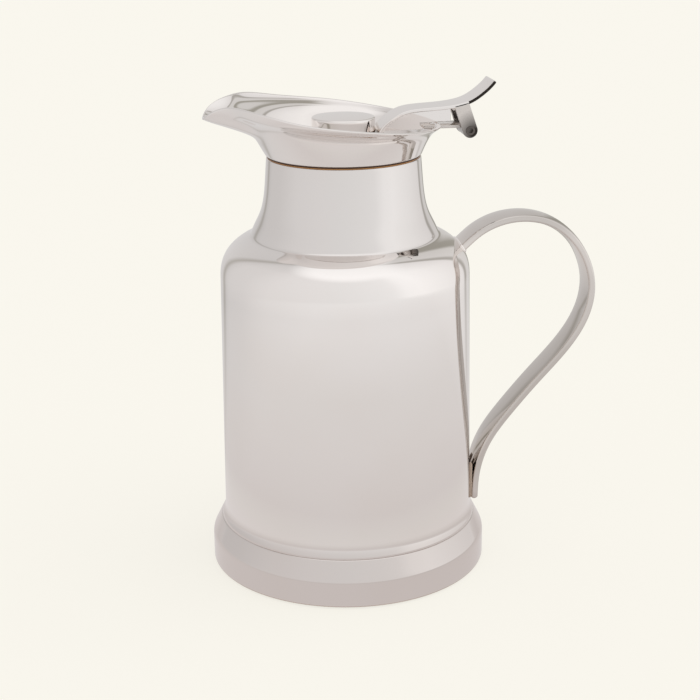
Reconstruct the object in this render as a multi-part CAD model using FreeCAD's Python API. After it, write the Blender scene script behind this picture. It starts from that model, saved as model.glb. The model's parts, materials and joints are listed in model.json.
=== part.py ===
"""Insulated serving carafe: polished shell, glass vacuum flask, spouted collar, thumb-lever lid.

Millimetres, +Z up. The origin is the middle of the base, on the table. The handle and the lid's
hinge lie on the +X side, the spout on the -X side, and the hinge pin runs along Y.
"""
import FreeCAD
import Part
import math
import os

Vec = FreeCAD.Vector

# Body: foot, wall, shoulder and neck
sheet = 0.9                 # wall of the shell and the foot
foot_out = 6.4              # foot band outside the wall's lower edge
foot_lift = 0.8             # table to the foot's metal edge
foot_band_h = 12.9          # top of the foot's upright band
foot_slope_h = 9.2          # height of the foot's sloping ring, from the band to the wall's flared edge
foot_edge_round = 1.5       # rounding between the band and the sloping ring
wall_flare = 1.7            # how far the wall's lower edge flares out
wall_flare_h = 5.6          # height of that flare
wall_low_r = 59.7           # wall over its flared lower edge
wall_taper = 1.6            # how far the wall draws in up to the shoulder
wall_h = 113.6              # height of the tapered wall
shoulder_h = 18.6           # height of the rounded shoulder, from the wall to the crease under the neck
shoulder_in = 14.4          # how far the shoulder draws in
shoulder_slope = 24.5       # degrees off level where the shoulder meets the crease
neck_r = 36.2               # neck at the top of its hollow sweep
neck_sweep_h = 25.7         # height of the sweep, from the crease up
neck_lean = 21.8            # degrees off upright where the sweep leaves the crease
neck_edge_in = 0.8          # neck's top edge inside the top of the sweep
neck_edge_h = 10.4          # height of the straight stretch under the edge

# Base: pad, screw-in cup and its thread ring
pad_in = 6.2                # foot's outside to the pad's edge
pad_t = 1.2
cup_floor_t = 1.8
cup_gap = 0.5               # cup to the foot's inside
base_thread_t = 8.1         # radial thickness of the base thread ring
base_thread_h = 8.2
cup_thread_gap = 0.2
cup_wall = 3.0
cushion_r = 20.0
cushion_wall = 2.0          # the cup's ring round the cushion
cushion_wall_h = 7.0

# Flask: two glass bottles, one in the other
glass = 1.6
vacuum_gap = 3.2
flask_air = 4.6             # shell's inside to the glass
flask_foot_gap = 8.0        # cup's floor to the flask's lowest point
flask_bottom_h = 29.0       # height of the flask's rounded bottom
flask_shoulder_drop = 11.3  # flask's shoulder starts this far under the shell's
flask_shoulder_h = 42.0
flask_neck_gap = 2.7        # male ring's inside to the flask's neck
flask_lip_drop = 9.0        # shell's top edge to the flask's lip
spacer_r = 5.0
spacer_count = 3
spacer_lift = 49.0          # flask's lowest point to the spacers
mouth_seal_h = 3.6
mouth_seal_over = 1.0       # seal's edge outside the flask's neck
bush_h = 5.0
bush_drop = 24.0            # shell's top edge to the bush's underside

# Neck joint: female ring, gasket and male ring
thread_gap = 0.3            # between the two threads
seat_gap = 0.1              # between flat seats that turn on each other
neck_flange_t = 0.4
neck_flange_in = 0.4        # flange's edge inside the neck's edge
neck_ring_t = 3.4
neck_ring_gap = 0.2         # ring to the shell's inside
neck_ring_h = 18.0
gasket_t = 0.5
gasket_in = 0.4             # gasket's edge inside the neck's edge
male_ring_t = 2.4
male_ring_h = 14.2

# Collar: bowl, spout and rim
collar_sheet = 1.0
collar_low_out = 0.3        # collar's lower edge outside the neck's edge
bowl_flare = 13.05          # how far the bowl opens out at the sides, from its lower edge
bowl_flare_lean = 3.75      # how much more it opens at the spout, and less at the back
bowl_h = 17.3               # height at which the sides are fully open
bowl_tilt = 4.5             # how much higher that level lies at the spout, and lower at the back
spout_out = 28.2            # spout's tip outside the collar's lower edge
spout_half_angle = 9.5      # degrees off the spout where half the draw is left
floor_lift = 6.37           # collar's lower edge to the bowl's floor
rim_tip_h = 17.5            # rim heights over the collar's lower edge
rim_peak_h = 25.0
rim_side_h = 17.7
rim_back_h = 12.4
rim_peak_back = 16.4        # spout's tip to the rim's peak
rim_tip_run = 4.0           # the rim's line goes on past the tip by this run
rim_tip_fall = 8.0          # and falls by this much on it
rim_back_run = 4.0
rim_back_fall = 0.3
core_wall = 1.5             # collar's wall round the moulded core
floor_t = 1.2
throat_r = 14.0
throat_wall = 3.4
throat_lip = 0.4            # throat's lip over the bowl's floor
core_gap = 0.1

# Hinge
hinge_out = 12.6            # bowl's back edge to the pin
hinge_drop = 2.9            # back rim's height to the pin
pin_r = 2.1
pin_wall = 1.0              # wall round the pin's hollow ends
pin_socket_depth = 1.0
pin_proud = 0.4
pin_clearance = 0.05
knuckle_wall = 1.15
lug_t = 1.4
lug_drop = 0.8              # knuckle's top to the lug's top
ear_t = 1.6
ear_wall = 1.3              # ear round the pin
ear_gap = 0.4               # ear to knuckle
ear_lean = 3.4              # ear's top leans this far to the spout
fork_bridge_t = 1.4

# Lid
lever_w = 16.6
lever_t = 1.7
lever_foot_gap = 0.4        # cap to the lever's foot
lever_rise = 7.0            # back rim's height to the lever's flat stretch
lever_rest_gap = 0.5        # web to the collar's back rim
web_clear = 3.3             # web to the bowl's back wall
thumb_out = 11.3            # pin to the thumb end, along X
thumb_rise = 12.0           # flat stretch to the thumb end
web_t = 2.4
web_lead = 7.7              # web's end to the pin
web_step_run = 1.5          # run of the web's step for each unit of its rise
plate_over = 0.8            # lid plate's edge outside the throat's wall
plate_t = 1.4
seal_t = 1.2
seal_gap = 0.15             # closed seal to the throat's lip
plug_gap = 1.2              # plug to the throat, at the top
plug_taper = 1.4
plug_h = 9.0
cap_in = 3.7                # lid plate's edge to the cap
cap_h = 7.7
cap_edge_r = 2.6
cap_crown = 0.5
cap_wall = 0.8
boss_r = 4.5
boss_h = 5.0
boss_cover = 1.0
screw_r = 1.9
screw_head_r = 3.6
screw_head_h = 2.2

# Handle
handle_w = 16.5
handle_t = 4.6
handle_ease = 1.0           # rounding of the strap's long edges
handle_reach = 58.7         # wall to the strap's middle at its widest
handle_end_rise = 2.1       # foot's top to the strap's lower end
handle_rise = 133.1         # strap's lower end to the level of its upper joint
handle_sink = 3.0           # strap's ends run this far into the wall before they are trimmed

# Fullness of the curves, as shares of each curve's own height or depth
FLARE_LOW_EASE = 0.45
FLARE_TOP_EASE = 0.45
SHOULDER_LOW_EASE = 0.594
SHOULDER_TOP_EASE = 0.576
NECK_LOW_EASE = 0.398
NECK_TOP_EASE = 0.661
FLASK_FLOOR_EASE = 0.63
FLASK_SIDE_EASE = 0.333
FLASK_SHOULDER_EASE = 0.5
CAP_EASE = 0.6

# Points of the rim between its named heights: share of the run, share of the rise
RIM_BROW = (0.671, 0.70)    # from the peak towards the tip
RIM_SLOPE = (0.37, 0.575)   # from the peak towards the sides, and height of the peak over the sides
RIM_REAR = (0.645, 0.31)    # from the sides towards the back, and height of the sides over the back

# Levels, from the table up
foot_top_z = foot_band_h + foot_slope_h
wall_low_z = foot_top_z + wall_flare_h
wall_top_z = wall_low_z + wall_h
shoulder_z = wall_top_z + shoulder_h
neck_sweep_z = shoulder_z + neck_sweep_h
neck_top_z = neck_sweep_z + neck_edge_h
cup_top_z = pad_t + cup_floor_t
flask_low_z = cup_top_z + flask_foot_gap
flask_top_z = neck_top_z - flask_lip_drop
flange_z = neck_top_z + neck_flange_t
gasket_z = flange_z + seat_gap
collar_z = gasket_z + gasket_t + seat_gap

# Radii, from the wall in
foot_r = wall_low_r + foot_out
pad_r = foot_r - pad_in
wall_top_r = wall_low_r - wall_taper
neck_edge_r = neck_r - neck_edge_in
male_ring_r = neck_edge_r - sheet - neck_ring_gap - neck_ring_t - thread_gap
flask_neck_r = male_ring_r - male_ring_t - flask_neck_gap
collar_low_r = neck_edge_r + collar_low_out
spout_r = collar_low_r + spout_out
rim_peak_x = spout_r - rim_peak_back

# Shares of the bowl's height, tilt, flare and spout draw, from the lower edge to over the rim
BOWL_SHAPE = [
    (0.00, 0.00, 0.00, 0.00),
    (0.165, 0.165, 0.096, 0.027),
    (0.31, 0.31, 0.188, 0.042),
    (0.416, 0.416, 0.26, 0.10),
    (0.549, 0.549, 0.36, 0.40),
    (0.636, 0.636, 0.433, 0.65),
    (0.7225, 0.7225, 0.529, 0.88),
    (0.838, 0.838, 0.72, 1.03),
    (1.00, 1.00, 1.00, 1.03),
    (1.20, 1.20, 1.13, 1.03),
    (1.85, 0.00, 1.25, 1.03),
]
BACK_FLARE = 0.95           # share of the back's flare that the rim reaches there
TIP_FLARE = 0.66            # share of the front's flare that lies under the spout's tip
NOSE_ANGLES = [0, 3, 6, 9, 12.5, 17, 22, 30, 45, 65, 90, 120, 150]

spout_draw = spout_out - TIP_FLARE * (bowl_flare + bowl_flare_lean)
floor_top_z = collar_z + floor_lift
floor_low_z = floor_top_z - floor_t
core_r = collar_low_r - core_wall
throat_out_r = throat_r + throat_wall
throat_top_z = floor_top_z + throat_lip
core_low_z = collar_z + seat_gap + gasket_t
mouth_seal_z = flask_top_z + mouth_seal_h
back_r = collar_low_r + BACK_FLARE * (bowl_flare - bowl_flare_lean)
back_rim_z = collar_z + rim_back_h
pin_x = back_r + hinge_out
pin_z = back_rim_z - hinge_drop
knuckle_r = pin_r + pin_clearance + knuckle_wall
ear_end_r = pin_r + ear_wall
ear_out_y = lever_w / 2
knuckle_y = ear_out_y - ear_t - ear_gap
seal_low_z = throat_top_z + seal_gap
plate_low_z = seal_low_z + seal_t
plate_top_z = plate_low_z + plate_t
plate_r = throat_out_r + plate_over
cap_r = plate_r - cap_in
lever_z = back_rim_z + lever_rise


def line(start, end):
    """Straight edge between two (x, z) points in the XZ plane."""
    return Part.LineSegment(Vec(start[0], 0, start[1]), Vec(end[0], 0, end[1])).toShape()


def edge(poles):
    """Line for two (x, z) poles, Bezier curve for more."""
    if len(poles) == 2:
        return line(poles[0], poles[1])
    curve = Part.BezierCurve()
    curve.setPoles([Vec(x, 0, z) for x, z in poles])
    return curve.toShape()


def direction(start, end):
    """Unit (x, z) vector from one point to another."""
    dx = end[0] - start[0]
    dz = end[1] - start[1]
    size = math.hypot(dx, dz)
    return (dx / size, dz / size)


def inset(profile, depth):
    """Copy of a run of pole lists, moved towards the axis by a depth square to the run."""
    starts = [direction(poles[0], poles[1]) for poles in profile]
    ends = [direction(poles[-2], poles[-1]) for poles in profile]
    tangents = [starts[0]]
    for before, after in zip(ends[:-1], starts[1:]):
        tangents.append(direction((0, 0), (before[0] + after[0], before[1] + after[1])))
    tangents.append(ends[-1])
    shifts = [(-depth * t[1], depth * t[0]) for t in tangents]
    moved = []
    for index, poles in enumerate(profile):
        half = len(poles) / 2
        out = []
        for number, (x, z) in enumerate(poles):
            shift = shifts[index] if number < half else shifts[index + 1]
            out.append((x + shift[0], z + shift[1]))
        moved.append(out)
    return moved


def backwards(profile):
    """The same run of pole lists, followed from its far end."""
    return [list(reversed(poles)) for poles in reversed(profile)]


def turned(edges):
    """Solid of a closed XZ outline turned round the Z axis."""
    face = Part.Face(Part.Wire(edges))
    return face.revolve(Vec(0, 0, 0), Vec(0, 0, 1), 360)


def turned_points(points):
    """Solid of a straight-sided (r, z) outline turned round the Z axis."""
    loop = points + points[:1]
    return turned([line(a, b) for a, b in zip(loop[:-1], loop[1:])])


def tube(inner_r, outer_r, low_z, high_z):
    """Plain ring."""
    return turned_points([(inner_r, low_z), (outer_r, low_z), (outer_r, high_z), (inner_r, high_z)])


def disc(radius, low_z, high_z):
    """Plain disc."""
    return Part.makeCylinder(radius, high_z - low_z, Vec(0, 0, low_z))


def wall(profile, depth):
    """Sheet of one thickness inside a run of pole lists."""
    inner = backwards(inset(profile, depth))
    edges = [edge(poles) for poles in profile]
    edges.append(line(profile[-1][-1], inner[0][0]))
    edges += [edge(poles) for poles in inner]
    edges.append(line(inner[-1][-1], profile[0][0]))
    return turned(edges)


def filled(profile):
    """Solid from the axis out to a run of pole lists."""
    low = profile[0][0]
    high = profile[-1][-1]
    edges = [edge(poles) for poles in profile]
    if high[0] > 0:
        edges.append(line(high, (0, high[1])))
    edges.append(line((0, high[1]), (0, low[1])))
    if low[0] > 0:
        edges.append(line((0, low[1]), low))
    return turned(edges)


def slab(points, half_width):
    """Straight-sided (x, z) outline drawn out to both sides of the middle plane."""
    loop = points + points[:1]
    outline = Part.Wire([line(a, b) for a, b in zip(loop[:-1], loop[1:])])
    outline.translate(Vec(0, -half_width, 0))
    return Part.Face(outline).extrude(Vec(0, 2 * half_width, 0))


def spline(points):
    """Smooth curve through (x, z) points."""
    curve = Part.BSplineCurve()
    curve.interpolate([Vec(x, 0, z) for x, z in points])
    return curve


def strap_sides(points, thickness, steps):
    """Two (x, z) rows of points, half a thickness to each side of a smooth middle line."""
    middle = spline(points)
    first = middle.FirstParameter
    span = middle.LastParameter - first
    left = []
    right = []
    for step in range(steps + 1):
        at = first + span * step / steps
        spot = middle.value(at)
        way = middle.tangent(at)[0]
        side = Vec(-way.z, 0, way.x) * (thickness / 2)
        left.append((spot.x + side.x, spot.z + side.z))
        right.append((spot.x - side.x, spot.z - side.z))
    return left, right


def strap(points, thickness, width, steps):
    """Flat strip of one thickness along a smooth middle line, square across Y."""
    left, right = strap_sides(points, thickness, steps)
    edges = [spline(left).toShape()]
    edges.append(line(left[-1], right[-1]))
    edges.append(spline(right[::-1]).toShape())
    edges.append(line(right[0], left[0]))
    outline = Part.Wire(edges)
    outline.translate(Vec(0, -width / 2, 0))
    return Part.Face(outline).extrude(Vec(0, width, 0))


def foot_profile():
    """Outside of the foot: upright band, rounded edge and a sloping ring in to the wall's flared edge."""
    band_top = (foot_r, foot_band_h)
    seam = (wall_low_r + wall_flare, foot_top_z)
    way = direction(band_top, seam)
    start = (foot_r + way[0] * foot_edge_round, foot_band_h + way[1] * foot_edge_round)
    return [
        [(foot_r, foot_lift), (foot_r, foot_band_h - foot_edge_round)],
        [(foot_r, foot_band_h - foot_edge_round), band_top, start],
        [start, seam],
    ]


def shell_profile():
    """Outside of the body: tapered wall, rounded shoulder, hollow sweep, neck."""
    wall_edge = (wall_low_r + wall_flare, foot_top_z)
    wall_low = (wall_low_r, wall_low_z)
    wall_top = (wall_top_r, wall_top_z)
    crease = (wall_top_r - shoulder_in, shoulder_z)
    sweep_top = (neck_r, neck_sweep_z)
    neck_edge = (neck_edge_r, neck_top_z)
    wall_way = direction(wall_low, wall_top)
    neck_way = direction(sweep_top, neck_edge)
    ring_way = direction((foot_r, foot_band_h), wall_edge)
    flare_low = FLARE_LOW_EASE * wall_flare_h
    flare_top = FLARE_TOP_EASE * wall_flare_h
    low = SHOULDER_LOW_EASE * shoulder_h
    high = SHOULDER_TOP_EASE * shoulder_in
    slope = math.radians(shoulder_slope)
    neck_low = NECK_LOW_EASE * neck_sweep_h
    neck_high = NECK_TOP_EASE * neck_sweep_h
    lean = math.radians(neck_lean)
    return [
        [wall_edge, (wall_edge[0] + ring_way[0] * flare_low, wall_edge[1] + ring_way[1] * flare_low),
         (wall_low[0] - wall_way[0] * flare_top, wall_low[1] - wall_way[1] * flare_top), wall_low],
        [wall_low, wall_top],
        [wall_top, (wall_top[0] + wall_way[0] * low, wall_top[1] + wall_way[1] * low),
         (crease[0] + high * math.cos(slope), crease[1] - high * math.sin(slope)), crease],
        [crease, (crease[0] - neck_low * math.sin(lean), crease[1] + neck_low * math.cos(lean)),
         (sweep_top[0] - neck_way[0] * neck_high, sweep_top[1] - neck_way[1] * neck_high), sweep_top],
        [sweep_top, neck_edge],
    ]


def flask_profile():
    """Outside of the outer glass bottle, from its lowest point to its lip."""
    body_r = wall_top_r - sheet - flask_air
    body_low = (body_r, flask_low_z + flask_bottom_h)
    body_top = (body_r, wall_top_z - flask_shoulder_drop)
    neck_low = (flask_neck_r, body_top[1] + flask_shoulder_h)
    half = FLASK_SHOULDER_EASE * flask_shoulder_h
    return [
        [(0, flask_low_z), (FLASK_FLOOR_EASE * body_r, flask_low_z),
         (body_r, flask_low_z + FLASK_SIDE_EASE * flask_bottom_h), body_low],
        [body_low, body_top],
        [body_top, (body_r, body_top[1] + half), (flask_neck_r, neck_low[1] - half), neck_low],
        [neck_low, (flask_neck_r, flask_top_z)],
    ]


def bottle(profile, top_z, thickness):
    """Glass wall inside a run that starts on the axis, cut off level at a height."""
    inner = inset(profile, thickness)
    size = 2 * wall_low_r
    over = disc(size, top_z, top_z + size)
    return filled(profile).cut(filled(inner)).cut(over)


def make_body():
    """Shell, foot and handle."""
    shell_outline = shell_profile()
    foot = wall(foot_profile(), sheet)
    shell = wall(shell_outline, sheet).cut(foot)
    core = filled(foot_profile()).fuse(filled(shell_outline))
    return {"outer_shell": shell, "foot_ring": foot, "handle": make_handle(core)}


def make_handle(core):
    """Strap from the shoulder, over and down to the lower wall, trimmed to the body's outside."""
    wall_x = wall_low_r + handle_t / 2
    low_z = foot_top_z + handle_end_rise
    # Shares of the handle's reach and rise, from the shoulder round to the lower end
    shape = [(-0.13, 0.958), (-0.014, 1.001), (0.155, 1.039), (0.368, 1.054), (0.59, 1.037), (0.794, 0.979),
             (0.938, 0.8845), (0.986, 0.783), (0.931, 0.6745), (0.785, 0.573), (0.54, 0.4555), (0.298, 0.336),
             (0.101, 0.2155), (0.014, 0.095), (0.0, 0.0)]
    reach = handle_reach - handle_t / 2
    points = [(wall_x + reach * x, low_z + handle_rise * z) for x, z in shape]
    lead = direction(points[1], points[0])
    root = (points[0][0] + lead[0] * handle_sink, points[0][1] + lead[1] * handle_sink)
    bar = strap([root] + points, handle_t, handle_w, 3 * len(points))
    bar = bar.makeFillet(handle_ease, [item for item in bar.Edges if is_long_edge(item)])
    return largest(bar.cut(core))


def is_long_edge(item):
    """True for the strap's edges that follow its length."""
    return item.Length > handle_reach


def largest(shape):
    """Biggest solid of a cut, without the offcuts."""
    return max(shape.Solids, key=lambda solid: solid.Volume)


def make_base():
    """Pad, screw-in cup, its thread ring and the cushion under the flask."""
    ring_out = foot_r - sheet
    ring_in = ring_out - base_thread_t
    thread_r = ring_in - cup_thread_gap
    cup = disc(ring_out - cup_gap, pad_t, cup_top_z)
    cup = cup.fuse(tube(thread_r - cup_wall, thread_r, cup_top_z, cup_top_z + base_thread_h))
    cup = cup.fuse(tube(cushion_r, cushion_r + cushion_wall, cup_top_z, cup_top_z + cushion_wall_h))
    cushion = disc(cushion_r, cup_top_z, flask_low_z + flask_foot_gap / 2)
    return {
        "base_pad": disc(pad_r, 0, pad_t),
        "base_cup": cup.removeSplitter(),
        "base_thread_ring": tube(ring_in, ring_out, cup_top_z, cup_top_z + base_thread_h),
        "flask_cushion": cushion.cut(filled(flask_profile())),
    }


def make_flask():
    """Two glass bottles that meet at the lip, their spacers, the bush and the seal on the lip."""
    outer_line = flask_profile()
    inner_line = inset(outer_line, glass + vacuum_gap)
    lip_z = flask_top_z - glass
    outer = bottle(outer_line, lip_z, glass)
    inner = bottle(inner_line, flask_top_z, glass)
    mouth_r = flask_neck_r - 2 * glass - vacuum_gap
    inner = inner.fuse(tube(mouth_r, flask_neck_r, lip_z, flask_top_z)).removeSplitter()
    body_r = outer_line[1][0][0]
    spacers = []
    for number in range(spacer_count):
        angle = 2 * math.pi * number / spacer_count
        way = Vec(math.cos(angle), math.sin(angle), 0)
        start = way * (body_r - glass - vacuum_gap - glass / 2) + Vec(0, 0, flask_low_z + spacer_lift)
        peg = Part.makeCylinder(spacer_r, vacuum_gap + glass, start, way)
        spacers.append(peg.cut(outer).cut(inner))
    bush_z = neck_top_z - bush_drop
    bush = disc(wall_top_r, bush_z, bush_z + bush_h)
    bush = bush.common(filled(inset(shell_profile(), sheet))).cut(filled(outer_line))
    seal_r = flask_neck_r + mouth_seal_over
    return {
        "flask_outer_bottle": outer,
        "flask_inner_bottle": inner,
        "flask_spacers": Part.makeCompound(spacers),
        "flask_neck_bush": bush,
        "mouth_seal": tube(mouth_r, seal_r, flask_top_z, mouth_seal_z),
    }


def make_neck_joint():
    """Female ring in the neck, gasket on its flange, male ring under the collar."""
    ring_out = neck_edge_r - sheet - neck_ring_gap
    ring_in = ring_out - neck_ring_t
    flange = tube(ring_in, neck_edge_r - neck_flange_in, neck_top_z, flange_z)
    ring = tube(ring_in, ring_out, neck_top_z - neck_ring_h, neck_top_z).fuse(flange)
    return {
        "neck_ring": ring.removeSplitter(),
        "collar_gasket": tube(ring_in, neck_edge_r - gasket_in, gasket_z, gasket_z + gasket_t),
        "collar_thread_ring": tube(male_ring_r - male_ring_t, male_ring_r,
                                   core_low_z - male_ring_h, core_low_z),
    }


def bowl_section(row, rise, draw):
    """Closed outline of the bowl at one row of its shape, raised and drawn in."""
    height, tilt, flare, nose = row
    points = []
    for angle in NOSE_ANGLES + [180] + [360 - angle for angle in NOSE_ANGLES[:0:-1]]:
        off = min(angle, 360 - angle)
        lean = math.cos(math.radians(off))
        spout = nose * spout_draw * 0.5 ** ((off / spout_half_angle) ** 2)
        radius = collar_low_r + flare * (bowl_flare + bowl_flare_lean * lean) + spout - draw
        level = collar_z + height * bowl_h + tilt * bowl_tilt * lean + rise
        turn = math.radians(180 - angle)
        points.append(Vec(radius * math.cos(turn), radius * math.sin(turn), level))
    curve = Part.BSplineCurve()
    curve.interpolate(points, True)
    return Part.Wire(curve.toShape())


def bowl(rise, draw):
    """Solid of the bowl's outline from its lower edge up to over the rim."""
    return Part.makeLoft([bowl_section(row, rise, draw) for row in BOWL_SHAPE], True)


def rim_points():
    """(x, height) points of the rim, from past the spout's tip to past the back."""
    return [
        (-spout_r - rim_tip_run, rim_tip_h - rim_tip_fall),
        (-spout_r, rim_tip_h),
        (-rim_peak_x - RIM_BROW[0] * rim_peak_back, rim_tip_h + RIM_BROW[1] * (rim_peak_h - rim_tip_h)),
        (-rim_peak_x, rim_peak_h),
        (-rim_peak_x + RIM_SLOPE[0] * rim_peak_x, rim_side_h + RIM_SLOPE[1] * (rim_peak_h - rim_side_h)),
        (0.0, rim_side_h),
        (RIM_REAR[0] * back_r, rim_back_h + RIM_REAR[1] * (rim_side_h - rim_back_h)),
        (back_r + rim_back_run, rim_back_h - rim_back_fall),
    ]


def over_rim():
    """Space above the rim: the rim's height depends on X alone."""
    points = rim_points()
    low = spline([(x, collar_z + h) for x, h in points]).toShape()
    start = (points[0][0], collar_z + points[0][1])
    end = (points[-1][0], collar_z + points[-1][1])
    far = 2 * spout_r
    top = collar_z + 3 * rim_peak_h
    loop = [end, (far, end[1]), (far, top), (-far, top), (-far, start[1]), start]
    outline = Part.Wire([low] + [line(a, b) for a, b in zip(loop[:-1], loop[1:])])
    outline.translate(Vec(0, -far, 0))
    return Part.Face(outline).extrude(Vec(0, 2 * far, 0))


def make_collar():
    """Spouted bowl with its floor, the moulded core under it, and the hinge bracket at its back."""
    rim = over_rim()
    outside = bowl(0, 0).cut(rim)
    inside = bowl(collar_sheet, collar_sheet).cut(disc(spout_r, collar_z, floor_top_z))
    collar = outside.cut(inside)
    collar = collar.cut(disc(core_r, collar_z, floor_low_z))
    collar = collar.cut(disc(throat_out_r + core_gap, floor_low_z, floor_top_z))
    core = tube(throat_r, core_r - core_gap, core_low_z, floor_low_z)
    core = core.fuse(tube(throat_r, throat_out_r, mouth_seal_z + seat_gap, throat_top_z))
    return {
        "collar": largest(collar),
        "pour_insert": core.removeSplitter(),
        "hinge_bracket": make_bracket(outside),
    }


def bar_along_y(radius, half_length):
    """Round bar on the hinge line."""
    return Part.makeCylinder(radius, 2 * half_length, Vec(pin_x, -half_length, pin_z), Vec(0, 1, 0))


def make_bracket(outside):
    """Flat lug from the collar's back to the knuckle round the pin."""
    top = pin_z + knuckle_r - lug_drop
    start = back_r - hinge_out
    lug = slab([(start, top - lug_t), (pin_x, top - lug_t), (pin_x, top), (start, top)], knuckle_y)
    bracket = lug.fuse(bar_along_y(knuckle_r, knuckle_y))
    bracket = bracket.cut(bar_along_y(pin_r + pin_clearance, 2 * knuckle_y))
    return largest(bracket.removeSplitter().cut(outside))


def lever_line():
    """Middle line of the lever: foot on the lid plate, knee, flat stretch, thumb end."""
    foot_x = cap_r + lever_foot_gap + lever_t / 2
    low = plate_top_z
    rise = lever_z - low
    flat = pin_x - foot_x
    return [
        (foot_x, low),
        (foot_x + 0.03 * flat, low + 0.20 * rise),
        (foot_x + 0.13 * flat, low + 0.58 * rise),
        (foot_x + 0.26 * flat, low + 0.87 * rise),
        (foot_x + 0.44 * flat, lever_z),
        (foot_x + 0.68 * flat, lever_z + 0.05 * thumb_rise),
        (foot_x + 0.87 * flat, lever_z + 0.13 * thumb_rise),
        (pin_x, lever_z + 0.26 * thumb_rise),
        (pin_x + 0.50 * thumb_out, lever_z + 0.55 * thumb_rise),
        (pin_x + 0.82 * thumb_out, lever_z + 0.81 * thumb_rise),
        (pin_x + thumb_out, lever_z + thumb_rise),
    ]


def under_lever(points, low_z):
    """Space from a level up to the lever's middle line."""
    start = points[0]
    end = points[-1]
    outline = Part.Wire([spline(points).toShape(), line(end, (end[0], low_z)),
                         line((end[0], low_z), (start[0], low_z)), line((start[0], low_z), start)])
    return Part.Face(outline)


def make_lid():
    """Lever with its web, fork, pin, cap, plate, stopper and screw."""
    middle = lever_line()
    strip = strap(middle, lever_t, lever_w, 3 * len(middle))
    strip = strip.cut(disc(spout_r, collar_z, plate_top_z))
    lever = strip.fuse(make_web(middle)).removeSplitter()
    parts = {"lid_lever": lever}
    parts["hinge_fork"] = make_fork(middle, strip)
    pin = bar_along_y(pin_r, ear_out_y + pin_proud)
    for side in (-1, 1):
        start = side * (ear_out_y + pin_proud - pin_socket_depth)
        mouth = Vec(pin_x, start, pin_z)
        socket = Part.makeCylinder(pin_r - pin_wall, 2 * pin_socket_depth, mouth, Vec(0, side, 0))
        pin = pin.cut(socket)
    parts["hinge_pin"] = pin
    parts.update(make_stopper())
    return parts


def make_web(middle):
    """Stiffening web under the lever, stepped up over the collar's back rim."""
    start = middle[0][0]
    end = pin_x - web_lead
    low = plate_top_z
    over = back_rim_z + lever_rest_gap
    step = over - low
    under = under_lever(middle, low - bowl_h)
    under.translate(Vec(0, -web_t / 2, 0))
    top = lever_z + thumb_rise
    inside = back_r - web_clear
    outline = [(start, low), (inside - web_step_run * step, low), (inside, over), (end, over),
               (end, top), (start, top)]
    return under.extrude(Vec(0, web_t, 0)).common(slab(outline, web_t))


def make_fork(middle, strip):
    """Two ears on a bridge, shaped to the lever's underside."""
    top_x = pin_x - ear_lean
    top_z = lever_z + thumb_rise
    lean = direction((pin_x, pin_z), (top_x, lever_z))
    across = (lean[1] * ear_end_r, -lean[0] * ear_end_r)
    reach = top_z - pin_z
    up = (pin_x + lean[0] * reach, pin_z + lean[1] * reach)
    blade = [(pin_x - across[0], pin_z - across[1]), (pin_x + across[0], pin_z + across[1]),
             (up[0] + across[0], up[1] + across[1]), (up[0] - across[0], up[1] - across[1])]
    under = under_lever(middle, pin_z - 2 * ear_end_r)
    under.translate(Vec(0, -lever_w, 0))
    space = under.extrude(Vec(0, 2 * lever_w, 0)).cut(strip)
    block = slab(blade, ear_out_y).common(space).fuse(bar_along_y(ear_end_r, ear_out_y))
    bridge_z = lever_z - lever_t / 2 - fork_bridge_t
    gap = slab([(0, 0), (2 * pin_x, 0), (2 * pin_x, bridge_z), (0, bridge_z)], ear_out_y - ear_t)
    fork = block.cut(gap).cut(bar_along_y(pin_r, lever_w))
    return largest(fork.removeSplitter())


def make_stopper():
    """Round pieces of the lid that sit over and in the throat."""
    plate = disc(plate_r, plate_low_z, plate_top_z)
    plate = plate.fuse(disc(boss_r, plate_top_z, plate_top_z + boss_h))
    screw_top = plate_top_z + boss_h - boss_cover
    plug_r = throat_r - plug_gap
    plug_top_z = plate_low_z
    plug_low_z = throat_top_z - plug_h
    head_top_z = plug_low_z + screw_head_h
    plug = turned_points([(0, plug_low_z), (plug_r - plug_taper, plug_low_z), (plug_r, throat_top_z),
                          (plug_r, plug_top_z), (0, plug_top_z)])
    screw = disc(screw_head_r, plug_low_z, head_top_z).fuse(disc(screw_r, head_top_z, screw_top))
    cap_top_z = plate_top_z + cap_h
    outer = cap_profile(cap_r, cap_top_z, cap_edge_r)
    inner = cap_profile(cap_r - cap_wall, cap_top_z - cap_wall, cap_edge_r - cap_wall)
    return {
        "lid_plate": plate.cut(screw).removeSplitter(),
        "stopper_body": plug.cut(screw),
        "stopper_seal": tube(plug_r, throat_out_r, seal_low_z, plate_low_z),
        "stopper_screw": screw.removeSplitter(),
        "lid_cap": filled(outer).cut(filled(inner)),
    }


def cap_profile(radius, top_z, round_r):
    """Outside of the cap: upright side, rounded edge, slightly crowned top."""
    side_z = top_z - cap_crown - round_r
    return [
        [(radius, plate_top_z), (radius, side_z)],
        [(radius, side_z), (radius, side_z + CAP_EASE * round_r),
         (radius - (1 - CAP_EASE) * round_r, top_z - cap_crown),
         (radius - round_r, top_z - cap_crown)],
        [(radius - round_r, top_z - cap_crown), (radius / 2, top_z), (radius / 4, top_z), (0, top_z)],
    ]


def main():
    """Builds every piece and writes one file for each."""
    parts = {}
    for make in (make_base, make_body, make_flask, make_neck_joint, make_collar, make_lid):
        parts.update(make())
    os.makedirs("parts", exist_ok=True)
    for name, shape in parts.items():
        shape.exportStep("parts/" + name + ".step")
        box = shape.BoundBox
        print(name, "valid", shape.isValid(), "solids", len(shape.Solids), "volume", round(shape.Volume, 1),
              "z", round(box.ZMin, 2), round(box.ZMax, 2), "x", round(box.XMin, 2), round(box.XMax, 2))


main()
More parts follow.
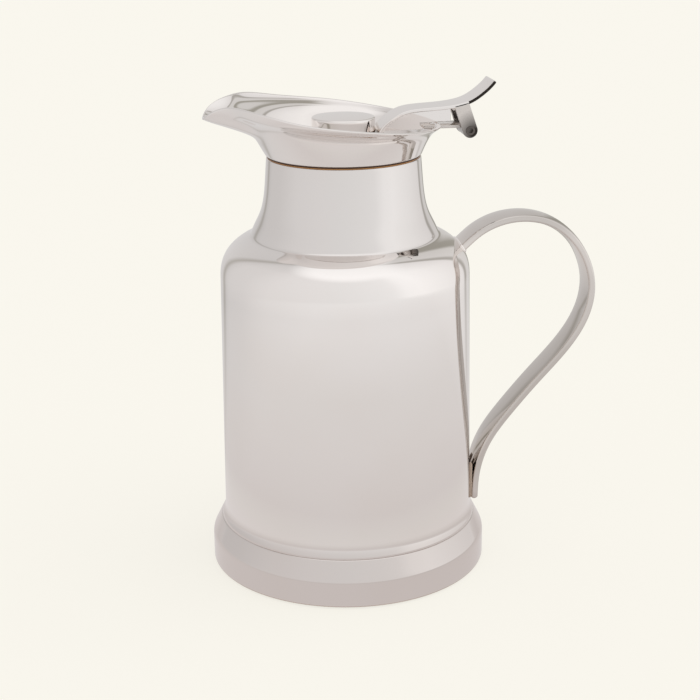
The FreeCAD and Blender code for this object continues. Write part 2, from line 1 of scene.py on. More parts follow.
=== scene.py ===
"""Looks of a silver-plated insulated serving carafe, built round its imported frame."""
import json
import math

import bmesh
import bpy
import numpy as np
from bpy.props import FloatProperty, FloatVectorProperty, IntProperty, PointerProperty
from mathutils import Matrix, Vector


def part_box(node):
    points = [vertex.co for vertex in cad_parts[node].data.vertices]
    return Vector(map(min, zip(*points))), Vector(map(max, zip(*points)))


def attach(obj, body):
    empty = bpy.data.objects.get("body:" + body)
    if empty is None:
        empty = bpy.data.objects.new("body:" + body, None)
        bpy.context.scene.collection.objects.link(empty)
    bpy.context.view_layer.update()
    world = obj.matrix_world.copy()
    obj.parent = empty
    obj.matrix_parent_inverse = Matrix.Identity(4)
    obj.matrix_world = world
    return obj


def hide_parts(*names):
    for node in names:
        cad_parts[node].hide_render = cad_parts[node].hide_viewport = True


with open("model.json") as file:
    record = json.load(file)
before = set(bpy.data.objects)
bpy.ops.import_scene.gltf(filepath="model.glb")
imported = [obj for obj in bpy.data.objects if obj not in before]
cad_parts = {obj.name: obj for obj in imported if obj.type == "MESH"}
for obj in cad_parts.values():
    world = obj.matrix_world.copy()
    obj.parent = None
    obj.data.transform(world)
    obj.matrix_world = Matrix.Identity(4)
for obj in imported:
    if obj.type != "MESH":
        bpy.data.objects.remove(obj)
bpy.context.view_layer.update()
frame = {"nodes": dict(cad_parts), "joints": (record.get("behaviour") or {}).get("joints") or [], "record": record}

bl_info = {
    "name": "Serving carafe",
    "version": (1, 0, 0),
    "blender": (4, 5, 0),
    "location": "3D View > Sidebar > Carafe",
    "description": "Polished pieces, finishes and studio of an insulated serving carafe",
    "category": "Object",
}

MM = 0.001


def box_side(node, axis, end):
    """One side of a node's box in millimetres: axis 0 to 2, end 0 for low and 1 for high."""
    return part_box(node)[end][axis] / MM


def joint_place(name):
    """A joint's point in millimetres."""
    place = next(joint["pos_m"] for joint in frame["joints"] if joint["name"] == name)
    return [value / MM for value in place]


# Body, in millimetres and degrees
SHEET = 0.9
FOOT_R = box_side("foot_ring", 0, 1)
FOOT_LOW = box_side("foot_ring", 2, 0)
FOOT_TOP = box_side("foot_ring", 2, 1)
FOOT_BAND = 12.9
FOOT_EDGE = 1.5
WALL_FLARE = 1.7
WALL_LOW_R = box_side("outer_shell", 0, 1) - WALL_FLARE
WALL_LOW = FOOT_TOP + 5.6
WALL_TAPER = 1.6
WALL_TOP = 141.3
SHOULDER_TOP = 159.9
SHOULDER_IN = 14.4
SHOULDER_SLOPE = 24.5
NECK_R = 36.2
NECK_SWEEP_TOP = 185.6
NECK_LEAN = 21.8
NECK_TOP = box_side("outer_shell", 2, 1)
NECK_EDGE_R = 35.4
SHELL_STEP = 1.6
FOOT_STEP = 0.7
SEAM_ROUND = 0.05

# Shares by which the body's curves pull at their ends, and where the softened crease starts and ends
FLARE_PULL = 0.45
SHOULDER_PULL = (0.594, 0.576)
NECK_PULL = (0.398, 0.661)
CREASE_START = 0.95
CREASE_END = 0.04

# Collar, in millimetres and degrees
COLLAR_LOW = box_side("collar", 2, 0)
COLLAR_LOW_R = 35.7
COLLAR_SHEET = 1.0
BOWL_FLARE = 13.05
BOWL_FLARE_LEAN = 3.75
BOWL_H = 17.3
BOWL_TILT = 4.5
SPOUT_R = 63.9
SPOUT_DRAW = 17.112
SPOUT_HALF_ANGLE = 9.5
RIM_TIP_H = 17.5
RIM_PEAK_H = 25.0
RIM_SIDE_H = 17.7
RIM_BACK_H = 12.4
RIM_PEAK_X = 47.5
RIM_PAST = 4.0
RIM_TIP_FALL = 8.0
RIM_BACK_FALL = 0.3
BACK_R = 44.535
CORE_R = 34.2
CORE_EASE = 0.2
FLOOR_T = 1.2
FLOOR_LIFT = 6.37
FLOOR_CORNER = 0.6
FLOOR_MARGIN = 4.0
HOLE_R = 17.5
HOLE_EASE = 0.5
BEVEL = 0.3
LOW_EDGE_UP = 0.5
LOW_EDGE = [(0.5, 0.0), (0.22, 0.06), (0.0, 0.22)]

# Shares out and up of the rim's points between tip and peak, peak and side, and side and back
TIP_SHARE = (0.671, 0.70)
SIDE_SHARE = (0.63, 0.575)
BACK_SHARE = (0.645, 0.31)

# Shares of the bowl's height, tilt, flare and spout draw, from the lower edge to over the rim
BOWL_SHAPE = [
    (0.00, 0.00, 0.00, 0.00),
    (0.165, 0.165, 0.096, 0.027),
    (0.31, 0.31, 0.188, 0.042),
    (0.416, 0.416, 0.26, 0.10),
    (0.549, 0.549, 0.36, 0.40),
    (0.636, 0.636, 0.433, 0.65),
    (0.7225, 0.7225, 0.529, 0.88),
    (0.838, 0.838, 0.72, 1.03),
    (1.00, 1.00, 1.00, 1.03),
    (1.20, 1.20, 1.13, 1.03),
    (1.85, 0.00, 1.25, 1.03),
]

# Hinge and lid, in millimetres
PIN_X, _, PIN_Z = joint_place("lid_hinge")
PIN_R = box_side("hinge_pin", 0, 1) - PIN_X
PIN_END = box_side("hinge_pin", 1, 1)
PIN_SOCKET_R = 1.1
PIN_SOCKET_DEPTH = 1.0
KNUCKLE_R = 3.3
KNUCKLE_BORE = 2.15
KNUCKLE_END = box_side("hinge_bracket", 1, 1)
LUG_TOP = 209.1
LUG_T = 1.4
LUG_START = 36.0
LUG_END = PIN_X - 2.6
EAR_OUT = box_side("hinge_fork", 1, 1)
EAR_T = 1.6
EAR_R = 3.4
EAR_LEAN = 3.4
EAR_RISE = 12.0
BRIDGE_DROP = 2.24
BRIDGE_LAP = 0.2
# Centre and reach of the painted shade close under the hinge pin
PIN_SHADE_X = PIN_X + 2.2
PIN_SHADE_Z = PIN_Z - 1.2
PIN_SHADE_NEAR = 2.0
PIN_SHADE_FAR = 11.0
LEVER_W = 2 * box_side("lid_lever", 1, 1)
LEVER_T = 1.7
LEVER_Z = 216.5
LEVER_LOW = box_side("lid_lever", 2, 0)
LEVER_FOOT_X = 15.75
LEVER_CROWN = 0.08
LEVER_END = 0.5
THUMB_OUT = 11.3
THUMB_RISE = 12.0
SAWN_FROM = PIN_X - 1.0
WEB_T = 2.4
WEB_START = LEVER_FOOT_X + 0.6
WEB_END = PIN_X - 7.7
WEB_STEP_X = 40.96
WEB_STEP_LOW_X = 35.89
WEB_OVER = 210.0
WEB_LEAST = 0.3
WEB_EASE = 0.12
CAP_R = box_side("lid_cap", 0, 1)
CAP_LOW = box_side("lid_cap", 2, 0)
CAP_TOP = box_side("lid_cap", 2, 1)
CAP_ROUND = 1.2
CAP_CROWN = 0.5
CAP_WALL = 0.8
CAP_STEP = 0.5

# Shares of the lever's run and rise up to its knee, of its run and thumb rise on the flat and of its
# thumb end, least sideways share of a sawn side's normal, and pull of the cap's rounded edge
KNEE_SHAPE = [(0.0, 0.0), (0.03, 0.20), (0.13, 0.58), (0.26, 0.87), (0.44, 1.0)]
FLAT_SHAPE = [(0.68, 0.05), (0.87, 0.13), (1.0, 0.26)]
THUMB_SHAPE = [(0.50, 0.55), (0.82, 0.81), (1.0, 1.0)]
SAWN_TURN = 0.7
CAP_PULL = 0.6

# Handle and its solder, in millimetres, and shares of the solder's radius and length
STRAP_W = 2 * box_side("handle", 1, 1)
STRAP_T = 4.6
STRAP_REACH = 58.66
STRAP_LIFT = 2.1
STRAP_RISE = 133.1
STRAP_SINK = 1.6
STRAP_END = 1.5
JOINT_STEP = 0.5
SOLDER_LOW = 3.0
SOLDER_RISE = 18.5
SOLDER_OUT = 0.1
SOLDER_IN = 0.9
SOLDER_SWELL = 1.3
SOLDER_TAPER = 9
SOLDER_TIP = 0.02
STRAP_SHAPE = [
    (-0.13, 0.958), (-0.014, 1.001), (0.155, 1.039), (0.368, 1.054), (0.59, 1.037),
    (0.794, 0.979), (0.938, 0.8845), (0.986, 0.783), (0.931, 0.6745), (0.785, 0.573),
    (0.54, 0.4555), (0.298, 0.336), (0.101, 0.2155), (0.014, 0.095), (0.0, 0.0),
]

# Fineness of the grids: points along lines, rows, steps round and halvings, the turns of a rounded edge,
# the shares across a strap's face, and how far the collar's columns crowd to the spout
LINE_POINTS = 1500
LEAST_POINTS = 8
LEVER_POINTS = 200
EAR_POINTS = 24
ROUND_POINTS = 5
WEB_POINTS = 48
SOLDER_POINTS = 40
STRAP_ROWS = 200
LEVER_ROWS = 140
OUTSIDE_ROWS = 80
INSIDE_ROWS = 64
COLLAR_STEPS = 320
SMALL_STEPS = 64
TUBE_STEPS = 12
HALVINGS = 40
HALF_TURN = np.linspace(0, np.pi, 9)[1:-1]
FACE_SHARES = np.linspace(-0.4, 0.4, 9)
SPOUT_CROWD = 0.6

# Painted reflection tone: how much brighter or darker the silver's colour is, by millimetres up
BOX_TOP = box_side("lid_lever", 2, 1)
PAINTED_SHEEN_BY_HEIGHT = [
    (FOOT_TOP + 1.5, "#E0DDDC"), (WALL_LOW + 1, "#F3F3F3"), (134, "#F3F3F3"), (142, "#F9F9F9"),
    (153, "#FCFCFC"), (160, "#EBEBEB"), (196, "#EBEBEB"), (198, "#F3F3F3"),
]

# Tones that the silver mirrors: the tent's panels by degrees round from the camera side, its roof,
# and the floor by metres out, darker close to the object as painted shade
PANELS = [
    (-180, "#DAD8D7"), (-168, "#D6D4D3"), (-156, "#D1CFCE"), (-149, "#B2AFAA"), (-143, "#CFCDCC"),
    (-135, "#D6D4D3"), (-110, "#D9D7D6"), (-80, "#E2E0DF"), (-40, "#E6E4E3"), (-15, "#E7E6E5"),
    (5, "#E9E8E7"), (22, "#EBEAE9"), (36, "#EEEDEC"), (50, "#F9F8F7"), (65, "#FCFBFA"), (95, "#F4F3F2"),
    (121, "#EAE8E7"), (127, "#E6E4E3"), (130, "#AEABA6"), (133, "#B2AFAA"), (137, "#D9D7D5"),
    (149, "#D6D4D1"), (152, "#A3A098"), (156, "#A6A39B"), (160, "#D4D2CF"), (180, "#DAD8D7"),
]
ROOF = "#FDFCFB"
MIRRORED_FLOOR_SHADE = [
    (0.11, "#DFDAD8"), (0.13, "#DDD9D6"), (0.16, "#D9D4D2"), (0.25, "#DEDAD8"), (0.35, "#E1DEDC"),
    (0.5, "#EBE9E8"), (0.68, "#ECEBEA"),
]

# Studio in metres: where the mirrored floor fades into the panels, how the panels' seams lean in and
# the roof lies, how much of the paper is plain to the camera, and the key light's way and spread
FLOOR_R = 9.0
FADE_CENTRE = (0.12, -0.35, 0.0)
FADE_START = 0.45
FADE_END = 0.85
SEAM_LEAN = 0.12
ROOF_WAY = (0.0, -0.17, 0.985)
ROOF_START = 0.8
ROOF_END = 0.96
PAPER_PLAIN = 0.8
KEY_WAY = (0.5, -0.1, 0.9)
KEY_SPREAD = math.radians(60)
SENSOR_MM = 36.0
VIEW_END = 50.0


def linear(hex_colour):
    """sRGB hex colour as linear red, green, blue and alpha."""
    parts = np.array([int(hex_colour[at:at + 2], 16) for at in (1, 3, 5)]) / 255
    low = parts / 12.92
    high = ((parts + 0.055) / 1.055) ** 2.4
    return (*np.where(parts <= 0.04045, low, high).tolist(), 1.0)


def tint(name, description, tone):
    """Setting for a colour, given as sRGB hex."""
    return FloatVectorProperty(name=name, description=description, default=linear(tone),
                               subtype="COLOR", size=4, min=0, max=1)


def measure(name, description, size):
    """Setting for a length, given in millimetres."""
    return FloatProperty(name=name, description=description, default=size * MM, unit="LENGTH")


class CarafeSizes(bpy.types.PropertyGroup):
    """Sizes that the eye can judge and a user may change."""
    round_steps: IntProperty(
        name="Steps round", description="Faces round each turned piece", default=192, min=48, max=256)
    neck_round: measure("Neck edge", "Rounding of the neck's top edge and the foot's lower one", 0.4)
    strap_round: measure("Strap edge", "Rounding of the handle's long edges", 1.2)
    strap_crown: measure("Strap crown", "How far the handle's wide faces swell", 0.8)
    lever_round: measure("Lever edge", "Rounding of the lever's long edges", 0.5)
    rim_lip: measure("Rim lip", "Height of the rounded lip on the collar's rim", 0.45)
    bead: measure("Solder bead", "Radius of the solder beads along the handle's joints", 0.75)
    edge_ease: measure("Edge ease", "Rounding of small machined edges", 0.25)


class CarafeColours(bpy.types.PropertyGroup):
    """Base colours of the finishes."""
    silver: tint("Silver plate", "Polished silver, a little warm", "#FFFBF9")
    film: tint("Film", "Faint warm film on the silver", "#FBF5F1")
    # Painted shade: near-black colour laid close under the hinge pin and on the lever's cut sides
    handled: tint("Handled silver", "Silver dulled by hands", "#DED8D3")
    oil: tint("Hinge oil", "Dark oily tarnish round the hinge pin", "#3A3532")
    solder: tint("Solder", "Tin solder along the handle's lower joint, gone brown", "#B9A595")
    oiled: tint("Oiled steel", "Steel of the hinge pin under old oil", "#6E6864")
    # Brown tarnish laid by an occlusion mask: real tarnish in joints and corners, and also painted shade there
    tarnish_and_shade: tint("Tarnish", "Brown tarnish in joints and corners", "#BFA896")
    gasket: tint("Gasket", "Brown rubber under the collar", "#4A2A18")
    plastic: tint("Moulding", "Dark moulded plastic", "#26221F")
    silicone: tint("Seals", "Soft white seals", "#DCD8CF")
    rubber: tint("Base rubber", "Black non-slip rubber", "#1B1A19")
    brass: tint("Brass", "Turned brass threads, gone brown", "#B98A5C")
    steel: tint("Steel", "Turned stainless steel", "#BDBBB7")
    glass: tint("Flask glass", "Silvered flask glass", "#D7DEDC")
    felt: tint("Felt", "Pressed felt pads", "#A59B8A")
    floor: tint("Floor", "Pale cream floor and backdrop", "#FAF7EE")


class CarafeStudio(bpy.types.PropertyGroup):
    """Camera and light."""
    camera_place: FloatVectorProperty(
        name="Camera", description="Where the camera stands", subtype="XYZ", unit="LENGTH",
        size=3, default=(-91.5 * MM, -664.9 * MM, 321.6 * MM))
    camera_turn: FloatVectorProperty(
        name="Turn", description="The camera's pan, tilt and roll", subtype="EULER", unit="ROTATION",
        size=3, default=(math.radians(-8.0), math.radians(71.91), math.radians(-0.63)))
    lens: FloatProperty(
        name="Lens", description="Focal length on a 36 mm wide sensor", default=76.27, unit="CAMERA")
    sky: FloatProperty(
        name="Sky", description="Strength of the even light from all sides", default=0.78, min=0)
    key: FloatProperty(
        name="Key", description="Strength of the soft key light", default=0.75, min=0)


def bernstein(last, t):
    """Weights of a Bezier curve's poles at shares of its run, one row for each share."""
    t = t[:, None]
    k = np.arange(last + 1)
    choose = np.array([math.comb(last, number) for number in k])
    return choose * t ** k * (1 - t) ** (last - k)


def bezier(poles, count):
    """Points of a Bezier curve: each pole weighted by its Bernstein polynomial."""
    poles = np.array(poles, float)
    return bernstein(len(poles) - 1, np.linspace(0, 1, count)) @ poles


def stretch(poles, start, end):
    """Poles of a cubic's stretch between two shares of its run: the cubic through four of its points."""
    points = bernstein(3, np.linspace(start, end, 4)) @ np.array(poles, float)
    return np.linalg.solve(bernstein(3, np.linspace(0, 1, 4)), points)


def polar(degrees):
    """Unit (x, z) vector at an angle up from +X."""
    return np.array([math.cos(math.radians(degrees)), math.sin(math.radians(degrees))])


def unit(vectors):
    """A vector, or each of a row of them, scaled to length 1."""
    return vectors / np.linalg.norm(vectors, axis=-1, keepdims=True)


def lengths(points):
    """Length along a row of points, from its start to each of them."""
    return np.concatenate([[0], np.cumsum(np.linalg.norm(np.diff(points, axis=0), axis=1))])


def joined(run, step):
    """One row of points along a run of Bezier pieces, about a step apart."""
    rows = []
    for poles in run:
        size = lengths(np.array(poles, float))[-1]
        rows.append(bezier(poles, max(LEAST_POINTS, int(size / step) + 2))[:-1])
    rows.append(np.array(run[-1][-1:], float))
    return np.vstack(rows)


def natural(knots, values, at):
    """Natural cubic spline: pieces whose second derivative is continuous and zero at both ends."""
    gaps = np.diff(knots)
    inner = np.arange(1, len(knots) - 1)
    system = np.eye(len(knots))
    system[inner, inner - 1] = gaps[:-1]
    system[inner, inner] = 2 * (gaps[:-1] + gaps[1:])
    system[inner, inner + 1] = gaps[1:]
    right = np.zeros_like(values)
    right[1:-1] = 6 * np.diff(np.diff(values, axis=0) / gaps[:, None], axis=0)
    bend = np.linalg.solve(system, right)
    piece = np.clip(np.searchsorted(knots, at) - 1, 0, len(gaps) - 1)
    gap = gaps[piece][..., None]
    after = (at - knots[piece])[..., None] / gap
    before = 1 - after
    curve = (before ** 3 - before) * bend[piece] + (after ** 3 - after) * bend[piece + 1]
    return before * values[piece] + after * values[piece + 1] + curve * gap ** 2 / 6


def smooth_line(points, count):
    """Smooth curve through points: a natural spline over the length of the chords."""
    points = np.array(points, float)
    along = lengths(points)
    return natural(along, points, np.linspace(0, along[-1], count))


def normals(points):
    """Unit normals of an open row of plane points: each tangent turned a quarter to the left."""
    way = unit(np.gradient(points, axis=0))
    return np.stack([-way[:, 1], way[:, 0]], axis=1)


def rounded(corners, radius):
    """Closed outline with rounded corners, and a point just before and after each round."""
    corners = np.array(corners, float)
    sides = [np.roll(corners, way, axis=0) - corners for way in (1, -1)]
    longest = 0.4 * np.min([np.linalg.norm(side, axis=1, keepdims=True) for side in sides], axis=0)
    before, after = unit(sides[0]), unit(sides[1])
    half = np.arccos(np.clip((before * after).sum(1, keepdims=True), -1, 1)) / 2
    reach = np.minimum(radius / np.tan(half), longest)
    t = np.linspace(0, 1, ROUND_POINTS)[:, None, None]
    arc = (1 - t) ** 2 * (before * reach) + t ** 2 * (after * reach)
    margin = 1.2 * reach
    rows = np.concatenate([(before * margin)[None], arc, (after * margin)[None]]) + corners
    return rows.transpose(1, 0, 2).reshape(-1, 2)


def spun(section, steps):
    """Surface of a plane (radius, height) section turned round the Z axis: rows by steps by 3."""
    turn = np.arange(steps) * 2 * np.pi / steps
    radius, height = section[:, 0, None], section[:, 1, None]
    return np.stack([radius * np.cos(turn), radius * np.sin(turn), height + 0 * turn], axis=2)


def along_y(rows, x, z):
    """The same surface with its axis laid along Y at a place in X and Z."""
    return np.stack([rows[..., 0] + x, rows[..., 2], rows[..., 1] + z], axis=2)


def carried(path, sections):
    """Sections of (out, across) points carried along an XZ path: out is its normal, across is Y."""
    out = normals(path)
    x = path[:, 0, None] + out[:, 0, None] * sections[..., 0]
    z = path[:, 1, None] + out[:, 1, None] * sections[..., 0]
    y = np.broadcast_to(sections[..., 1], x.shape)
    return np.stack([x, y, z], axis=2)


def strip_rows(points, section, ease, count):
    """A section carried along a smooth line, drawn in on a quarter circle at the line's far end."""
    line = smooth_line(points, LINE_POINTS)
    along = lengths(line)
    turn = np.linspace(0, np.pi / 2, LEAST_POINTS)[1:]
    at = np.concatenate([np.linspace(0, along[-1] - ease, count), along[-1] - ease * (1 - np.sin(turn))])
    path = np.stack([np.interp(at, along, line[:, 0]), np.interp(at, along, line[:, 1])], axis=1)
    draw = np.concatenate([np.zeros(count), ease * (1 - np.cos(turn))])[:, None, None]
    thinnest = 0.01
    return carried(path, np.sign(section) * np.maximum(np.abs(section) - draw, thinnest))


def tube_rows(line, radius, out):
    """Round bar along a line of points: circles across the line, set out from an outward way."""
    way = unit(np.gradient(line, axis=0))
    across = unit(np.cross(way, out))
    up = np.cross(across, way)
    turn = np.arange(TUBE_STEPS)[None, :, None] * 2 * np.pi / TUBE_STEPS
    radius = np.broadcast_to(radius, len(line))[:, None, None]
    return line[:, None] + radius * (up[:, None] * np.cos(turn) + across[:, None] * np.sin(turn))


def linked(name, data):
    """New object in the scene."""
    made = bpy.data.objects.new(name, data)
    bpy.context.scene.collection.objects.link(made)
    return made


def grid_piece(name, rows, loop_rows=False, caps=False):
    """Mesh object of a grid of points in millimetres, closed across, and on demand along or by end caps."""
    count, across = rows.shape[:2]
    index = np.arange(count * across).reshape(count, across)
    low = index if loop_rows else index[:-1]
    high = np.roll(index, -1, axis=0) if loop_rows else index[1:]
    quads = np.stack([low, np.roll(low, -1, axis=1), np.roll(high, -1, axis=1), high], axis=2)
    faces = quads.reshape(-1, 4).tolist()
    if caps:
        faces += [index[0, ::-1].tolist(), index[-1].tolist()]
    mesh = bpy.data.meshes.new(name)
    mesh.from_pydata((rows.reshape(-1, 3) * MM).tolist(), [], faces)
    tidy_mesh(mesh)
    return linked(name, mesh)


def tidy_mesh(mesh):
    """Closes seams and poles, points the faces outwards and shades them smooth."""
    work = bmesh.new()
    work.from_mesh(mesh)
    bmesh.ops.remove_doubles(work, verts=work.verts, dist=0.002 * MM)
    bmesh.ops.dissolve_degenerate(work, edges=work.edges, dist=0.001 * MM)
    bmesh.ops.recalc_face_normals(work, faces=work.faces)
    work.to_mesh(mesh)
    work.free()
    mesh.polygons.foreach_set("use_smooth", np.ones(len(mesh.polygons), bool))


def plate_rows(outline, low, high, ease):
    """Plate of a closed XZ outline between two Y levels, its edges rounded by drawing the outline in."""
    way = unit(np.roll(outline, -1, axis=0) - np.roll(outline, 1, axis=0))
    area = (outline[:, 0] * np.roll(outline[:, 1], -1) - outline[:, 1] * np.roll(outline[:, 0], -1)).sum()
    inward = np.stack([-way[:, 1], way[:, 0]], axis=1) * np.sign(area)
    turn = np.linspace(0, np.pi / 2, 4)
    draw = ease * (1 - np.sin(turn))
    rise = ease * (1 - np.cos(turn))
    margin = [1.6 * ease]
    inset = np.concatenate([margin, draw, draw[::-1], margin])
    level = np.concatenate([[low], low + rise, (high - rise)[::-1], [high]])
    flat = outline[None] + inward[None] * inset[:, None, None]
    height = np.broadcast_to(level[:, None], flat.shape[:2])
    return np.stack([flat[..., 0], height, flat[..., 1]], axis=2)


def add(tree, kind, values=None, links=None, stops=(), **settings):
    """Adds one shader node: settings are its properties, values its socket values, links the sockets or
    nodes that feed its sockets and stops a ramp's colours by place."""
    made = tree.nodes.new("ShaderNode" + kind)
    for key, value in settings.items():
        setattr(made, key, value)
    for key, value in (values or {}).items():
        made.inputs[key].default_value = value
    for key, source in (links or {}).items():
        if isinstance(source, bpy.types.Node):
            source = next(socket for socket in source.outputs if socket.enabled)
        tree.links.new(source, made.inputs[key])
    for number, (place, colour) in enumerate(stops):
        elements = made.color_ramp.elements
        stop = elements[number] if number < 2 else elements.new(place)
        stop.position = place
        stop.color = linear(colour)
    return made


def per_mm(size):
    """Texture scale that gives a pattern of a size in millimetres."""
    return 1 / (size * MM)


def material(name, shade, *settings):
    """A material by name, made once: shade adds its nodes, given the tree and its object coordinates."""
    made = bpy.data.materials.get(name)
    if made is None:
        made = bpy.data.materials.new(name)
        made.use_nodes = True
        made.node_tree.nodes.clear()
        place = add(made.node_tree, "TexCoord").outputs["Object"]
        shader = shade(made.node_tree, place, *settings)
        add(made.node_tree, "OutputMaterial", links={"Surface": shader})
    return made


def silver_plate(tree, place, silver):
    """Silver-plated brass, machine polished.

    A clear mirror with a faintly warm film: polishing leaves a very shallow waviness a few
    centimetres across and handling leaves hazier patches. A painted reflection tone by height makes the
    shoulder mirror brightest and the foot least, and an occlusion mask lays brown tarnish in joints and
    corners, which also paints shade there.
    """
    colours = bpy.context.scene.carafe_colours
    film = add(tree, "TexNoise", {"Scale": per_mm(60), "Detail": 2.0}, {"Vector": place})
    share = add(tree, "MapRange", {"From Min": 0.42, "From Max": 0.72, "To Max": 0.55}, {"Value": film})
    skin = add(tree, "Mix", {"A": silver, "B": colours.film}, {"Factor": share}, data_type="RGBA")
    # Painted reflection tone: the colour brightened and darkened by height
    height = add(tree, "SeparateXYZ", links={0: place}).outputs["Z"]
    share = add(tree, "MapRange", {"From Max": BOX_TOP * MM}, {"Value": height})
    painted_sheen = add(tree, "ValToRGB", links={"Fac": share},
                 stops=[(level / BOX_TOP, tone) for level, tone in PAINTED_SHEEN_BY_HEIGHT])
    skin = add(tree, "Mix", {"Factor": 1.0}, {"A": skin, "B": painted_sheen},
               data_type="RGBA", blend_type="MULTIPLY")
    # Occlusion mask lays brown tarnish in joints and corners, which also paints shade there
    occlusion = add(tree, "AmbientOcclusion", {"Distance": 2.2 * MM}, samples=8).outputs["AO"]
    deep = add(tree, "MapRange", {"From Min": 0.15, "From Max": 0.7, "To Min": 0.75, "To Max": 0.0},
               {"Value": occlusion})
    colour = add(tree, "Mix", {"B": colours.tarnish_and_shade}, {"Factor": deep, "A": skin}, data_type="RGBA")
    haze = add(tree, "TexNoise", {"Scale": per_mm(22), "Detail": 3.0}, {"Vector": place})
    rough = add(tree, "MapRange", {"From Min": 0.35, "From Max": 0.75, "To Min": 0.03, "To Max": 0.06},
                {"Value": haze})
    swell = add(tree, "TexNoise", {"Scale": per_mm(30), "Detail": 1.0}, {"Vector": place})
    bump = add(tree, "Bump", {"Strength": 0.05, "Distance": 0.15 * MM}, {"Height": swell})
    return add(tree, "BsdfPrincipled", {"Metallic": 1.0},
               {"Base Color": colour, "Roughness": rough, "Normal": bump})


def worn_shaded_silver(tree, place):
    """Silver plate at the hinge, rubbed grey, with painted shade going near black close under the pin."""
    colours = bpy.context.scene.carafe_colours
    flat = add(tree, "VectorMath", {1: (1.0, 0.0, 1.0)}, {0: place}, operation="MULTIPLY")
    off = add(tree, "VectorMath", {1: (PIN_SHADE_X * MM, 0.0, PIN_SHADE_Z * MM)}, {0: flat}, operation="DISTANCE")
    out_of_shade = add(tree, "MapRange", {"From Min": PIN_SHADE_NEAR * MM, "From Max": PIN_SHADE_FAR * MM}, {"Value": off})
    colour = add(tree, "Mix", {"A": colours.oil, "B": colours.handled}, {"Factor": out_of_shade}, data_type="RGBA")
    return add(tree, "BsdfPrincipled", {"Metallic": 1.0, "Roughness": 0.16}, {"Base Color": colour})


def grained(tree, place, colour, grain_mm, depth_mm, roughness, metallic=0.0, ior=1.5):
    """Moulded, turned or pressed finish: one colour with a fine grain in its shade, gloss and relief."""
    grain = add(tree, "TexNoise", {"Scale": per_mm(grain_mm), "Detail": 4.0}, {"Vector": place})
    darker = tuple(value * GRAIN_SHADE for value in colour[:3]) + (1.0,)
    shade = add(tree, "Mix", {"A": darker, "B": tuple(colour)}, {"Factor": grain}, data_type="RGBA")
    spread = roughness * GRAIN_GLOSS
    rough = add(tree, "MapRange", {"To Min": roughness - spread, "To Max": min(1.0, roughness + spread)},
                {"Value": grain})
    bump = add(tree, "Bump", {"Strength": 0.4, "Distance": depth_mm * MM}, {"Height": grain})
    values = {"Metallic": metallic}
    if not metallic:
        values["IOR"] = ior
    return add(tree, "BsdfPrincipled", values, {"Base Color": shade, "Roughness": rough, "Normal": bump})


def flask_glass(tree, place):
    """Blown borosilicate glass, silvered on its vacuum side: a bright mirror under a clear skin."""
    wave = add(tree, "TexNoise", {"Scale": per_mm(18), "Detail": 1.0}, {"Vector": place})
    bump = add(tree, "Bump", {"Strength": 0.1, "Distance": 0.2 * MM}, {"Height": wave})
    glass = bpy.context.scene.carafe_colours.glass
    return add(tree, "BsdfPrincipled",
               {"Base Color": glass, "Metallic": 0.9, "Roughness": 0.06,
                "Coat Weight": 1.0, "Coat IOR": 1.47}, {"Normal": bump})


# Shares by which a grain darkens a colour and spreads its roughness, and the grained finishes by slot or
# place of wear or painted shade: name, colour, grain width and depth in millimetres, roughness and, where
# they differ from a common plastic's, metallic and IOR
GRAIN_SHADE = 0.78
GRAIN_GLOSS = 0.15
GRAINED = {
    # Turned brass: a soft satin with fine tool marks
    "brass": ("turned_brass", "brass", 0.8, 0.02, 0.28, 1.0),
    # Turned stainless steel: brighter and greyer, with fine tool marks
    "stainless_steel": ("turned_stainless_steel", "steel", 0.7, 0.015, 0.24, 1.0),
    # Nitrile rubber: matt and dark brown, with a dusty moulded skin
    "brown_rubber": ("brown_nitrile_rubber", "gasket", 0.6, 0.03, 0.62),
    # Silicone: milky white with a satin skin
    "seal_silicone": ("moulded_silicone", "silicone", 1.2, 0.02, 0.42, 0.0, 1.41),
    # Rubber foam: matt black with a coarse moulded skin
    "black_rubber": ("moulded_black_rubber", "rubber", 0.9, 0.06, 0.7),
    # Polypropylene: dark, with a spark-eroded grain
    "moulded_plastic": ("moulded_polypropylene", "plastic", 0.5, 0.03, 0.48),
    # Pressed wool felt: dull, with a fibrous surface
    "felt": ("pressed_felt", "felt", 0.7, 0.2, 0.95),
    # Tin solder gone brown: dull, so that the joint does not mirror itself black
    "handle_joint": ("tin_solder_brown", "solder", 0.6, 0.02, 0.45),
    # Oiled steel: a dark satin
    "pin_wear": ("stainless_steel_oiled", "oiled", 0.7, 0.015, 0.24, 1.0),
    # Sawn edge painted near black as shade and dark reflection: a dull dark metal
    "lever_edge": ("silver_plate_sawn_edge", "oil", 0.4, 0.01, 0.3, 1.0),
}


def finish_of(slot):
    """Material for one of the record's finish slots, or for a place of wear or of painted shade."""
    colours = bpy.context.scene.carafe_colours
    if slot in GRAINED:
        name, colour, *grain = GRAINED[slot]
        return material(name, grained, getattr(colours, colour), *grain)
    # Hinge silver: worn grey, with painted shade near black close under the pin
    if slot == "hinge_wear":
        return material("silver_plate_worn", worn_shaded_silver)
    if slot == "handle_wear":
        # Silver dulled by hands: the same mirror, greyer and warmer
        return material("silver_plate_handled", silver_plate, colours.handled)
    if slot == "flask_glass":
        return material("silvered_flask_glass", flask_glass)
    return material("silver_plate_polished", silver_plate, colours.silver)


def slot_of(node):
    """The record's finish slot of a node."""
    return next(part["material_slot"] for part in frame["record"]["subparts"] if part["node"] == node)


def body_of(node):
    """The moving body that a node belongs to."""
    bodies = frame["record"]["behaviour"]["bodies"]
    return next(body for body, nodes in bodies.items() if node in nodes)


